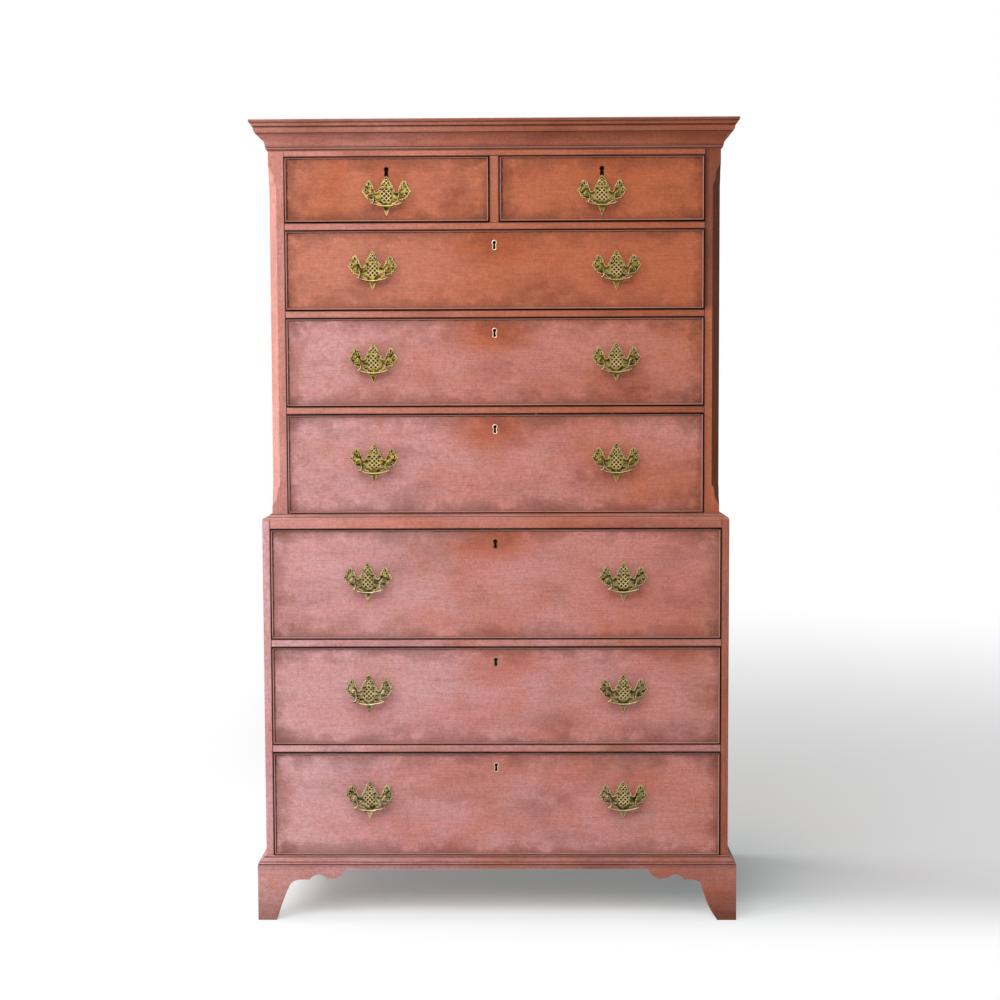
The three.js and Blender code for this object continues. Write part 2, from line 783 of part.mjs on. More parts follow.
const upperChest = new THREE.Group();
upperChest.position.set(0, frontmost / 2 - upperDepth, footHeight + lowerTopFace + seatGap);
upperChest.add(piece("upper_carcase", geometryOf(upperCarcase()), washedWood));
upperChest.add(
  piece(
    "upper_back_panel",
    geometryOf(backPanel(upperHalf - upperSideThickness, upperDepth, upperTopFace)),
    rawWood,
  ),
);
const cornice = piece(
  "cornice",
  geometryOf(mouldingRound(corniceSection(), upperHalf, upperDepth)),
  washedWood,
);
cornice.position.z = corniceFoot;
upperChest.add(cornice);
const upperRailGeometry = geometryOf(upperRail());
[2, 1].forEach((below, i) => {
  const rail = piece("rail_under_upper_drawer_" + below, upperRailGeometry, washedWood);
  rail.position.z = upperFloors[i + 1] - upperRailThickness;
  upperChest.add(rail);
});
const stileRail = piece("rail_under_short_drawers", geometryOf(upperRailWithStile()), washedWood);
stileRail.position.z = upperFloors.at(-1) - upperRailThickness;
upperChest.add(stileRail);

const upperHandleRises = [upperHandle3Rise, upperHandle2Rise, upperHandle1Rise];
upperHandleRises.forEach((handleRise, i) => {
  upperChest.add(
    drawer({
      name: "upper_drawer_" + (upperHandleRises.length - i),
      x: 0,
      floor: upperFloors[i],
      width: 2 * upperOpeningHalf,
      height: upperHeights[i],
      depth: drawerDepth(upperDepth, upperDrawerProud),
      proud: upperDrawerProud,
      handleRise,
      handles: pairOfHandles(upperHandleSpread),
    }),
  );
});
const shortWidth = upperOpeningHalf - centreStileWidth / 2;
for (const [name, side] of [
  ["short_drawer_left", -1],
  ["short_drawer_right", 1],
]) {
  upperChest.add(
    drawer({
      name,
      x: (side * (upperOpeningHalf + centreStileWidth / 2)) / 2,
      floor: upperFloors.at(-1),
      width: shortWidth,
      height: shortOpeningHeight,
      depth: drawerDepth(upperDepth, upperDrawerProud),
      proud: upperDrawerProud,
      handleRise: shortHandleRise,
      handles: [{ suffix: "", x: 0 }],
    }),
  );
}

const chestOnChest = new THREE.Group();
chestOnChest.add(lowerChest, upperChest);

export default chestOnChest;
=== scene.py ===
import math

import bmesh
import bpy
from mathutils import Matrix, Vector
from mathutils.geometry import delaunay_2d_cdt


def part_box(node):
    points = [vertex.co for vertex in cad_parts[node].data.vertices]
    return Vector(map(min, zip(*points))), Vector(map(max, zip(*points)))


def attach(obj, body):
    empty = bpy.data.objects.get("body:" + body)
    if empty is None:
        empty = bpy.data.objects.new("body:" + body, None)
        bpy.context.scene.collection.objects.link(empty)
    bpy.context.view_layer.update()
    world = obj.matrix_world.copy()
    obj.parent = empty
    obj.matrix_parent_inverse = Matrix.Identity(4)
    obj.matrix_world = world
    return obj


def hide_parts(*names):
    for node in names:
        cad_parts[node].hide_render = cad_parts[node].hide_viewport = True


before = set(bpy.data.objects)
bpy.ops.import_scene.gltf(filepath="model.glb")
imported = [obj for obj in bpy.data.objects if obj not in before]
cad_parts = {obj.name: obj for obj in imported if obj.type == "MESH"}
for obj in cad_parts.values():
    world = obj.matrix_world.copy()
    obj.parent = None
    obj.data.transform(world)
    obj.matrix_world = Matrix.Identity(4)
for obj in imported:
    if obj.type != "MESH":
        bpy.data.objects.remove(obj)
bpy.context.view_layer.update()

# A Georgian chest on chest in a salmon wash that shows its wear, with pierced brass handles.
# Lengths are metres in the part's own frame: X runs across the front, +Y goes to the back, +Z is up.
MM = 0.001

UP = Vector((0, 0, 1))
HANDS = (("left", -1), ("right", 1))

# How far the arrises of most boards are rounded
ARRIS = 0.7 * MM

# The seam between boards that meet, and the gap that the solids leave between seated parts
SEAM = 0.15 * MM
SEAT_GAP = 0.3 * MM

# How far the dark of a gap, dirt with a painted shade, creeps over the arris beside it, over which
# share of that way it stays thick, and how much of it is left at the end
GAP_DIRT_AND_SHADE_REACH = 2.2 * MM
GAP_DIRT_AND_SHADE_THICK_SHARE = 0.4
GAP_DIRT_AND_SHADE_LEFT_SHARE = 0.15

# How much a pattern is drawn out along each direction where the grain runs along X, Y or Z
GRAINS = {"x": (0.035, 1, 1), "y": (1, 0.035, 1), "z": (1, 1, 0.035)}

# Of each drawer: how pale the far left of its front is, partly as painted light, how rosy its wash, how
# strongly the old colour shows round its keyhole, how dark its cloud of dirt is and how many millimetres
# across and up from the front's middle, how many millimetres the painted shadow and dirt reach in from the
# left cockbead, the seed of its patches, and whether its escutcheon is black
DRAWERS = {
    "short_drawer_left": (0.0, 0.02, 0.5, 0.8, (147, -12), 4.2, 1.3, True),
    "short_drawer_right": (0.0, 0.0, 0.5, 0.4, (-195, 23), 3.4, 5.9, True),
    "upper_drawer_1": (0.08, 0.04, 1.0, 0.6, (137, -41), 3.2, 9.2, False),
    "upper_drawer_2": (0.38, 0.32, 1.0, 0.6, (330, -60), 2.8, 14.6, False),
    "upper_drawer_3": (0.42, 0.45, 0.8, 0.7, (206, -30), 2.4, 52.4, False),
    "lower_drawer_1": (0.36, 0.55, 0.7, 0.3, (400, 60), 2.9, 27.7, True),
    "lower_drawer_2": (0.38, 0.72, 0.5, 0.4, (150, -57), 2.6, 61.7, True),
    "lower_drawer_3": (0.3, 0.75, 0.3, 0.7, (114, 6), 2.6, 41.8, False),
}


# Shader nodes

def paint(red, green, blue):
    """A colour as it looks on a screen, from 0 to 255, as the light values that a shader takes."""
    def light(value):
        share = value / 255
        return share / 12.92 if share <= 0.04045 else ((share + 0.055) / 1.055) ** 2.4

    return (light(red), light(green), light(blue), 1.0)


def node(tree, kind, inputs=None, **settings):
    """A new node. Inputs are given by name or number, as a value or as the socket that feeds them."""
    made = tree.nodes.new(kind)
    for name, value in settings.items():
        setattr(made, name, value)
    for name, value in (inputs or {}).items():
        if isinstance(value, bpy.types.NodeSocket):
            tree.links.new(value, made.inputs[name])
        else:
            made.inputs[name].default_value = value
    return made


def maths(tree, operation, *operands, clamp=False):
    inputs = dict(enumerate(operands))
    return node(tree, "ShaderNodeMath", inputs, operation=operation, use_clamp=clamp).outputs[0]


def vector_maths(tree, operation, *operands):
    return node(tree, "ShaderNodeVectorMath", dict(enumerate(operands)), operation=operation).outputs[0]


def axes(tree, position):
    return node(tree, "ShaderNodeSeparateXYZ", {0: position}).outputs


def fade(tree, value, low, high, to_low=0.0, to_high=1.0):
    """A smooth step: to_low at the value low, to_high at the value high."""
    inputs = {"Value": value, "From Min": low, "From Max": high, "To Min": to_low, "To Max": to_high}
    return node(tree, "ShaderNodeMapRange", inputs, interpolation_type="SMOOTHSTEP").outputs[0]


def noise(tree, position, scale, detail, roughness, distortion=0.0):
    inputs = {
        "Vector": position,
        "Scale": scale,
        "Detail": detail,
        "Roughness": roughness,
        "Distortion": distortion,
    }
    return node(tree, "ShaderNodeTexNoise", inputs).outputs[0]


def blend(tree, share, first, second, kind="MIX"):
    inputs = {0: share, 6: first, 7: second}
    return node(tree, "ShaderNodeMix", inputs, data_type="RGBA", blend_type=kind).outputs[2]


def coated(tree, colour, tone, where, share):
    """The colour with a share of a tone over it where a mask says."""
    return blend(tree, maths(tree, "MULTIPLY", where, share, clamp=True), colour, tone)


def attribute(tree, name, output="Fac"):
    return node(tree, "ShaderNodeAttribute", attribute_name=name).outputs[output]


def new_group(name, kind, inputs, outputs):
    """A node group. A socket is its name, the kind of what it carries and the value it starts with."""
    tree = bpy.data.node_groups.new(name, kind + "NodeTree")
    for way, sockets in (("INPUT", inputs), ("OUTPUT", outputs)):
        for socket_name, carried, *start in sockets:
            kind_name = "NodeSocket" + carried
            socket = tree.interface.new_socket(socket_name, in_out=way, socket_type=kind_name)
            if start:
                socket.default_value = start[0]
    return tree, tree.nodes.new("NodeGroupInput").outputs, tree.nodes.new("NodeGroupOutput").inputs


def put_out(tree, result, values):
    for name, value in values.items():
        tree.links.new(value, result[name])
    return tree


def use(tree, group, inputs):
    return node(tree, "ShaderNodeGroup", inputs, node_tree=group).outputs


def wood_grain_group():
    """Fibres, broad figure and short dark pores, drawn out along the grain that each board carries."""
    tree, given, result = new_group(
        "wood_grain",
        "Shader",
        [("Position", "Vector"), ("Seed", "Float", 0.0)],
        [("Fibre", "Float"), ("Figure", "Float"), ("Pores", "Float")],
    )
    seed = given["Seed"]
    shift = node(tree, "ShaderNodeCombineXYZ", {0: seed, 1: seed, 2: seed}).outputs[0]
    grain = attribute(tree, "grain", "Vector")
    drawn = vector_maths(tree, "MULTIPLY_ADD", given["Position"], grain, shift)
    return put_out(tree, result, {
        "Fibre": noise(tree, drawn, 330.0, 5.0, 0.65),
        "Figure": noise(tree, drawn, 16.0, 3.0, 0.55, 1.4),
        "Pores": fade(tree, noise(tree, drawn, 900.0, 2.0, 0.5), 0.6, 0.72),
    })


def patches_group():
    """Cloudy patches of a size in metres, as rubbed-in colour, wear and dirt lie."""
    tree, given, result = new_group(
        "patches",
        "Shader",
        [
            ("Position", "Vector"), ("Size", "Float", 0.1), ("Threshold", "Float", 0.5),
            ("Softness", "Float", 0.12), ("Seed", "Float", 0.0),
        ],
        [("Mask", "Float")],
    )
    shift = node(tree, "ShaderNodeCombineXYZ", {0: given["Seed"], 2: given["Seed"]}).outputs[0]
    moved = vector_maths(tree, "ADD", given["Position"], shift)
    cloud = noise(tree, moved, maths(tree, "DIVIDE", 1.0, given["Size"]), 3.0, 0.52, 0.3)
    low = maths(tree, "SUBTRACT", given["Threshold"], given["Softness"])
    high = maths(tree, "ADD", given["Threshold"], given["Softness"])
    return put_out(tree, result, {"Mask": fade(tree, cloud, low, high)})


# How far dirt reaches from the edge of a drawer front, at least and at most
MARGIN_REACH = (8 * MM, 78 * MM)

# How far the painted shadow and dirt at the foot of a cockbead reach in: at the right, the top and the foot
BEAD_FOOT_SHADE_AND_DIRT = (0.3 * MM, 1.7 * MM, 0.6 * MM)

# Painted shade with some dirt behind the two diamond-shaped fields of a handle's plate: how high over the
# pivot its middle is, how far it is solid and where it ends. All of it is hidden but for what the piercings
# show.
BEHIND_DIAMONDS = ((-3 * MM, 20.5 * MM, 22.5 * MM), (24.7 * MM, 9 * MM, 10.5 * MM))

# Where the painted shade and dirt behind a plate's wing has its middle, across and up from the pivot, and the
# same of the stain and painted shadow round a handle
WING_PLACE = (41 * MM, 11 * MM)
SHADOW_AND_STAIN_PLACE = (5 * MM, -10 * MM)

# Oval marks: the share by which distances count along the oval, how far it is solid and where it
# ends. The first is drawn out upwards, the others sideways.
BEHIND_WING = (0.62, 9 * MM, 11 * MM)
HANDLE_SHADOW_AND_STAIN = (0.8, 22 * MM, 66 * MM)
KEYHOLE_HALO = (0.5, 2 * MM, 72 * MM)
DIRT_CLOUD = (0.5, 2 * MM, 52 * MM)


def edge_marks(tree, given, place, cloud):
    """The dirt of a drawer front's margin, and a line of painted shadow and dirt at the foot of its cockbead.
    """
    to_left = maths(tree, "ADD", given["Half Width"], place["X"])
    to_right = maths(tree, "SUBTRACT", given["Half Width"], place["X"])
    to_foot = maths(tree, "ADD", given["Half Height"], place["Z"])
    to_top = maths(tree, "SUBTRACT", given["Half Height"], place["Z"])
    to_side = maths(tree, "MINIMUM", to_left, to_right)
    to_rail = maths(tree, "MINIMUM", to_foot, to_top)
    reach = fade(tree, cloud, 0.3, 0.72, *MARGIN_REACH)
    near_side = maths(tree, "SUBTRACT", 1.0, maths(tree, "DIVIDE", to_side, reach), clamp=True)
    near_rail = maths(tree, "SUBTRACT", 1.0, maths(tree, "DIVIDE", to_rail, reach), clamp=True)
    nearest = maths(tree, "MAXIMUM", near_side, near_rail)
    corner = maths(tree, "MULTIPLY", maths(tree, "MINIMUM", near_side, near_rail), 0.45)
    margin = maths(tree, "POWER", maths(tree, "ADD", nearest, corner), 1.4)
    ragged = fade(tree, noise(tree, given["Position"], 60.0, 4.0, 0.7), 0.35, 0.65, 0.6, 1.25)
    line = 0.0
    for distance, dirt in zip((to_left, to_right, to_top, to_foot), (given["Foot Dirt"], *BEAD_FOOT_SHADE_AND_DIRT)):
        off_bead = maths(tree, "SUBTRACT", distance, given["Bead Width"])
        far = maths(tree, "MULTIPLY", ragged, dirt)
        dense = maths(tree, "MULTIPLY", far, 0.7)
        near = fade(tree, off_bead, dense, maths(tree, "MULTIPLY", far, 1.15), 1.0, 0.0)
        line = maths(tree, "MAXIMUM", line, near)
    inside_bead = maths(tree, "ADD", given["Bead Width"], -0.2 * MM)
    past_bead = maths(tree, "GREATER_THAN", maths(tree, "MINIMUM", to_side, to_rail), inside_bead)
    return {"Margin": margin, "Bead Foot": maths(tree, "MULTIPLY", line, past_bead)}


def oval(tree, along, across, drawn_out, solid, end):
    """1 near a place and 0 from the end on, at distances along and across the oval."""
    shortened = maths(tree, "MULTIPLY", along, drawn_out)
    squares = [maths(tree, "MULTIPLY", way, way) for way in (shortened, across)]
    return fade(tree, maths(tree, "SQRT", maths(tree, "ADD", *squares)), solid, end, 1.0, 0.0)


def handle_marks(tree, given, place):
    """The stain and painted shadow round each handle, and the painted shade and black dirt behind its plate.
    """
    side = maths(tree, "SIGN", place["X"])
    x = maths(tree, "SUBTRACT", place["X"], maths(tree, "MULTIPLY", side, given["Handle Spread"]))
    z = maths(tree, "SUBTRACT", place["Z"], given["Handle Rise"])
    shadow_and_stain_x, shadow_and_stain_z = (maths(tree, "SUBTRACT", way, middle) for way, middle in zip((x, z), SHADOW_AND_STAIN_PLACE))
    off_middle = maths(tree, "ABSOLUTE", x)
    wing_x = maths(tree, "SUBTRACT", off_middle, WING_PLACE[0])
    wing_z = maths(tree, "SUBTRACT", z, WING_PLACE[1])
    behind = oval(tree, wing_z, wing_x, *BEHIND_WING)
    for rise, solid, end in BEHIND_DIAMONDS:
        off_field = maths(tree, "ABSOLUTE", maths(tree, "SUBTRACT", z, rise))
        off_field = maths(tree, "ADD", off_middle, off_field)
        behind = maths(tree, "MAXIMUM", behind, fade(tree, off_field, solid, end, 1.0, 0.0))
    return {"Handle": oval(tree, shadow_and_stain_x, shadow_and_stain_z, *HANDLE_SHADOW_AND_STAIN), "Behind Plate": behind}


def drawer_marks_group():
    """Where dirt, wear and painted shade lie on a drawer front: its margin, the foot of the cockbead, round
    and behind the handles, round the keyhole and in one cloud. Handle Spread is how far the handles are
    from the middle, and Foot Shade And Dirt how far the painted shadow and dirt reach in from the left bead."""
    tree, given, result = new_group(
        "drawer_marks",
        "Shader",
        [
            ("Position", "Vector"), ("Centre", "Vector"), ("Half Width", "Float", 0.5),
            ("Half Height", "Float", 0.1), ("Handle Spread", "Float", 0.28), ("Handle Rise", "Float", 0.0),
            ("Keyhole Rise", "Float", 0.05), ("Bead Width", "Float", 0.0032),
            ("Foot Dirt", "Float", 0.002), ("Cloud Place", "Vector"),
        ],
        [
            ("Margin", "Float"), ("Bead Foot", "Float"), ("Handle", "Float"), ("Behind Plate", "Float"),
            ("Keyhole", "Float"), ("Cloud", "Float"),
        ],
    )
    local = vector_maths(tree, "SUBTRACT", given["Position"], given["Centre"])
    place = axes(tree, local)
    cloud = noise(tree, given["Position"], 17.0, 5.0, 0.65)
    keyhole_z = maths(tree, "SUBTRACT", place["Z"], given["Keyhole Rise"])
    off_cloud = axes(tree, vector_maths(tree, "SUBTRACT", local, given["Cloud Place"]))
    dense = oval(tree, off_cloud["X"], off_cloud["Z"], *DIRT_CLOUD)
    return put_out(tree, result, {
        **edge_marks(tree, given, place, cloud),
        **handle_marks(tree, given, place),
        "Keyhole": oval(tree, place["X"], keyhole_z, *KEYHOLE_HALO),
        "Cloud": maths(tree, "MULTIPLY", dense, fade(tree, cloud, 0.32, 0.6)),
    })


def dust_group():
    """A thin dust on what faces up."""
    tree, given, result = new_group(
        "dust", "Shader", [("Normal", "Vector"), ("Position", "Vector")], [("Mask", "Float")]
    )
    upward = axes(tree, given["Normal"])["Z"]
    cloud = noise(tree, given["Position"], 30.0, 6.0, 0.7)
    level = maths(tree, "MULTIPLY", fade(tree, upward, 0.6, 0.95), fade(tree, cloud, 0.25, 0.8))
    return put_out(tree, result, {"Mask": level})


WOOD_GRAIN = wood_grain_group()
PATCHES = patches_group()
DRAWER_MARKS = drawer_marks_group()
DUST = dust_group()


# Materials

SALMON = paint(196, 116, 84)
TERRACOTTA = paint(178, 90, 50)
ROSE = paint(208, 138, 134)
LAVENDER = paint(214, 176, 182)
UMBER = paint(96, 48, 30)
RUST = paint(128, 52, 40)
DARK_SHADE_AND_DIRT = paint(38, 9, 8)
PALE_WEAR_AND_HIGHLIGHT = paint(226, 170, 156)
WHITE = (1, 1, 1, 1)


def new_material(name):
    material = bpy.data.materials.new(name)
    material.use_nodes = True
    tree = material.node_tree
    coordinates = node(tree, "ShaderNodeTexCoord").outputs
    return material, tree, coordinates["Object"], coordinates["Normal"]


def surfaced(tree, colour, roughness, height, strength, depth):
    """Feeds the material's shader its colour, its roughness and a relief from a height."""
    shader = tree.nodes["Principled BSDF"]
    relief = node(tree, "ShaderNodeBump", {"Height": height, "Strength": strength, "Distance": depth})
    tree.links.new(colour, shader.inputs["Base Color"])
    tree.links.new(roughness, shader.inputs["Roughness"])
    tree.links.new(relief.outputs[0], shader.inputs["Normal"])
    return shader


def mask(tree, position, size, threshold, softness, seed):
    inputs = {"Position": position, "Size": size, "Threshold": threshold, "Softness": softness, "Seed": seed}
    return use(tree, PATCHES, inputs)["Mask"]


def wash_colour(tree, position, drawn, leftward, rose, seed, pale):
    """Salmon that drifts to terracotta at the right and to rose and lavender at the left, under a pale
    scumble. The drift is partly the wash's own tone and partly painted light, paler toward the light at the
    left.
    """
    rosy_share = maths(tree, "MULTIPLY_ADD", leftward, 0.12 + 0.65 * rose, rose)
    rosy = maths(tree, "MULTIPLY", rosy_share, mask(tree, position, 0.16, 0.42, 0.22, seed), clamp=True)
    warm = maths(tree, "MULTIPLY", mask(tree, position, 0.22, 0.56, 0.16, seed + 3), 0.75)
    rightward = maths(tree, "MULTIPLY", maths(tree, "SUBTRACT", 1.0, leftward), 0.6 * (1 - rose))
    colour = blend(tree, maths(tree, "MAXIMUM", warm, rightward), SALMON, TERRACOTTA)
    colour = blend(tree, rosy, colour, ROSE)
    paler_to_left = fade(tree, axes(tree, position)["X"], 0.05, -0.5, 0.0, pale)
    colour = blend(tree, paler_to_left, colour, LAVENDER)
    scumble = mask(tree, drawn, 0.1, 0.48, 0.2, seed + 7)
    scumble = maths(tree, "MULTIPLY", scumble, rosy_share, clamp=True)
    return coated(tree, colour, LAVENDER, scumble, 0.42)


def shade_and_dirt_amount(tree, position, drawn, leftward, seed, brown_dirt_and_shade):
    """Old brown dirt and painted shade: stains, a layer of dirt that a painted shade makes heavier to the
    right, away from the light at the left, and more of it near the floor, partly painted shade there.
    """
    stain = maths(tree, "MULTIPLY", mask(tree, drawn, 0.075, 0.6, 0.14, seed + 11), 0.28)
    dirt_layer_and_shade = maths(tree, "MULTIPLY", fade(tree, leftward, 0.0, 1.0, 1.4, 0.6), brown_dirt_and_shade)
    low_dirt_and_shade = fade(tree, axes(tree, position)["Z"], 90 * MM, 0.0, 0.0, 0.42)
    return maths(tree, "ADD", maths(tree, "ADD", stain, dirt_layer_and_shade), low_dirt_and_shade, clamp=True)


def washed_wood(name, rose, seed, brown_dirt_and_shade=0.0, pale=0.2, marks=None, halo=0.0, cloud=0.0):
    """The wash, with brushed fibres, dirt and painted shade in recesses and gaps, and arrises paled by wear
    and painted highlights. brown_dirt_and_shade is the share of brown dirt and painted shade over the whole
    of it, and pale the share of lavender at the far left, partly painted light. Marks are the inputs that
    place a drawer front's own dirt, wear and painted shade."""
    material, tree, position, normal = new_material(name)
    grain = use(tree, WOOD_GRAIN, {"Position": position, "Seed": seed})
    half = (0.5, 0.5, 0.5)
    stretch = vector_maths(tree, "MULTIPLY_ADD", attribute(tree, "grain", "Vector"), half, half)
    drawn = vector_maths(tree, "MULTIPLY", position, stretch)
    leftward = fade(tree, axes(tree, position)["X"], 0.4, -0.55)
    colour = wash_colour(tree, position, drawn, leftward, rose, seed, pale)
    if marks:
        marked = use(tree, DRAWER_MARKS, {"Position": position, **marks})
        # Over the wash: old colour round the keyhole, a cloud of dirt, a stain with a painted shadow round
        # the handles, dirt in the margin, painted shade with dirt behind the plates, and dirt with a painted
        # shadow at the cockbead's foot
        for mark, tone, share in (
            ("Keyhole", TERRACOTTA, 0.9 * halo),
            ("Cloud", RUST, 0.8 * cloud),
            ("Handle", RUST, 0.42),
            ("Margin", UMBER, 0.6),
            ("Behind Plate", DARK_SHADE_AND_DIRT, 0.85),
            ("Bead Foot", DARK_SHADE_AND_DIRT, 0.92),
        ):
            colour = coated(tree, colour, tone, marked[mark], share)
    speckle = fade(tree, noise(tree, position, 85.0, 5.0, 0.72), 0.42, 0.66)
    colour = coated(tree, colour, TERRACOTTA, speckle, 0.3)
    colour = blend(tree, shade_and_dirt_amount(tree, position, drawn, leftward, seed, brown_dirt_and_shade), colour, UMBER)
    mottle = noise(tree, position, 190.0, 4.0, 0.7)
    mixed = node(tree, "ShaderNodeMix", {0: 0.6, 2: grain["Fibre"], 3: mottle}, data_type="FLOAT")
    brushed = fade(tree, mixed.outputs[0], 0.36, 0.64, 0.84, 1.12)
    fibres = node(tree, "ShaderNodeCombineColor", {0: brushed, 1: brushed, 2: brushed}).outputs[0]
    colour = blend(tree, 1.0, colour, fibres, "MULTIPLY")
    weave = noise(tree, position, 420.0, 3.0, 0.7)
    dust = use(tree, DUST, {"Normal": normal, "Position": position})["Mask"]
    # Pores, weave and dust are the wood's own. The pale tone is wear with painted highlights, and the near
    # black is dirt with painted shade.
    for tone, where, share in (
        (UMBER, grain["Pores"], 0.35),
        (LAVENDER, fade(tree, weave, 0.58, 0.72), 0.16),
        (PALE_WEAR_AND_HIGHLIGHT, attribute(tree, "wear_and_highlight"), 0.42),
        (DARK_SHADE_AND_DIRT, attribute(tree, "dirt_and_shade"), 0.92),
        (paint(170, 158, 150), dust, 0.4),
    ):
        colour = coated(tree, colour, tone, where, share)
    roughness = fade(tree, grain["Figure"], 0.3, 0.7, 0.58, 0.7)
    height = maths(tree, "MULTIPLY_ADD", grain["Fibre"], 0.6, maths(tree, "MULTIPLY", weave, 0.5))
    shader = surfaced(tree, colour, roughness, height, 0.35, 0.5 * MM)
    shader.inputs["Specular IOR Level"].default_value = 0.2
    return material


def raw_pine():
    """Bare old pine: honey brown fibres and figure, and grey handling dirt."""
    material, tree, position, normal = new_material("raw_pine")
    grain = use(tree, WOOD_GRAIN, {"Position": position, "Seed": 2.7})
    figure = fade(tree, grain["Figure"], 0.25, 0.75)
    fibres = fade(tree, grain["Fibre"], 0.35, 0.75, 0.0, 0.55)
    dust = use(tree, DUST, {"Normal": normal, "Position": position})["Mask"]
    colour = blend(tree, figure, paint(196, 158, 112), paint(150, 104, 62))
    for tone, where, share in (
        (paint(120, 80, 46), fibres, 1.0),
        (paint(70, 44, 26), grain["Pores"], 0.4),
        (paint(104, 84, 64), mask(tree, position, 0.14, 0.55, 0.15, 4.0), 0.4),
        (DARK_SHADE_AND_DIRT, attribute(tree, "dirt_and_shade"), 0.85),
        (paint(176, 166, 152), dust, 0.45),
    ):
        colour = coated(tree, colour, tone, where, share)
    roughness = fade(tree, grain["Fibre"], 0.3, 0.7, 0.62, 0.82)
    surfaced(tree, colour, roughness, grain["Fibre"], 0.4, 0.4 * MM)
    return material


def aged_brass(name, bright, dull, polish):
    """Old lacquered brass: golden where it is handled, olive and nearly black in its hollows, darker
    to the right as a painted shade away from the light, and greyer low down."""
    material, tree, position, _ = new_material(name)
    place = axes(tree, position)
    tarnish_and_shade = mask(tree, position, 11 * MM, 0.52, 0.1, 1.0)
    # Painted shade: the dull tone takes over towards the right
    tarnish_and_shade = maths(tree, "MAXIMUM", tarnish_and_shade, fade(tree, place["X"], 0.0, 0.35, 0.0, 0.66))
    fine = noise(tree, position, 700.0, 4.0, 0.7)
    greyed = fade(tree, place["Z"], 1.0, 0.7, 0.0, 0.75)
    colour = blend(tree, greyed, paint(*bright), paint(200, 184, 148))
    colour = blend(tree, tarnish_and_shade, colour, paint(*dull))
    # The near black is patina in the hollows, with painted shade under the bail and on the lock's face seen
    # through the keyhole. The polish is wear, with painted highlights on the bail's side toward the lamps.
    for tone, where, share in (
        (paint(58, 50, 22), fade(tree, fine, 0.45, 0.7), 0.5),
        (paint(24, 20, 9), attribute(tree, "dirt_and_shade"), 0.9),
        (paint(*polish), attribute(tree, "wear_and_highlight"), 0.8),
    ):
        colour = coated(tree, colour, tone, where, share)
    shader = surfaced(tree, colour, fade(tree, fine, 0.3, 0.7, 0.3, 0.5), fine, 0.3, 0.2 * MM)
    shader.inputs["Metallic"].default_value = 1.0
    return material


UPPER_WASH = washed_wood("upper_case_wash", 0.25, 3.1)
UPPER_RAIL_WASH = washed_wood("upper_rail_wash", 0.06, 5.4)
# Shaded copies of the wash, as painted shade: for the right post and the lower case's right side, away from
# the light at the left
SHADED_RIGHT_POST_WASH = washed_wood("right_post_shaded_wash", 0.1, 12.9, brown_dirt_and_shade=0.06)
SHADED_SIDE_WASH = washed_wood("shaded_side_wash", 0.3, 19.5, brown_dirt_and_shade=0.17)
WAIST_WASH = washed_wood("waist_wash", 0.25, 24.3)
LOWER_WASH = washed_wood("lower_case_wash", 0.6, 8.4, pale=0.33)
CORNICE_WASH = washed_wood("cornice_wash", 0.1, 6.6, brown_dirt_and_shade=0.25)
BASE_WASH = washed_wood("base_wash", 0.5, 17.2, brown_dirt_and_shade=0.18, pale=0.33)
RAW_PINE = raw_pine()
PLATE_BRASS = aged_brass("plate_brass", (206, 178, 92), (84, 66, 22), (240, 222, 160))
BAIL_BRASS = aged_brass("bail_brass", (152, 130, 66), (66, 52, 20), (222, 204, 148))
ESCUTCHEON_BRASS = aged_brass("escutcheon_brass", (214, 190, 172), (186, 158, 136), (232, 216, 204))
BLACKENED_BRASS = aged_brass("blackened_brass", (36, 16, 12), (20, 9, 7), (70, 38, 30))
LOCK_BRASS = aged_brass("lock_brass", (150, 132, 84), (104, 92, 58), (196, 180, 124))
OLD_IRON = aged_brass("old_iron", (92, 82, 76), (54, 42, 36), (120, 112, 106))


# Meshes

def once_each(elements):
    """The elements without repeats, in their own order, which a set wouldn't keep."""
    return list(dict.fromkeys(elements))


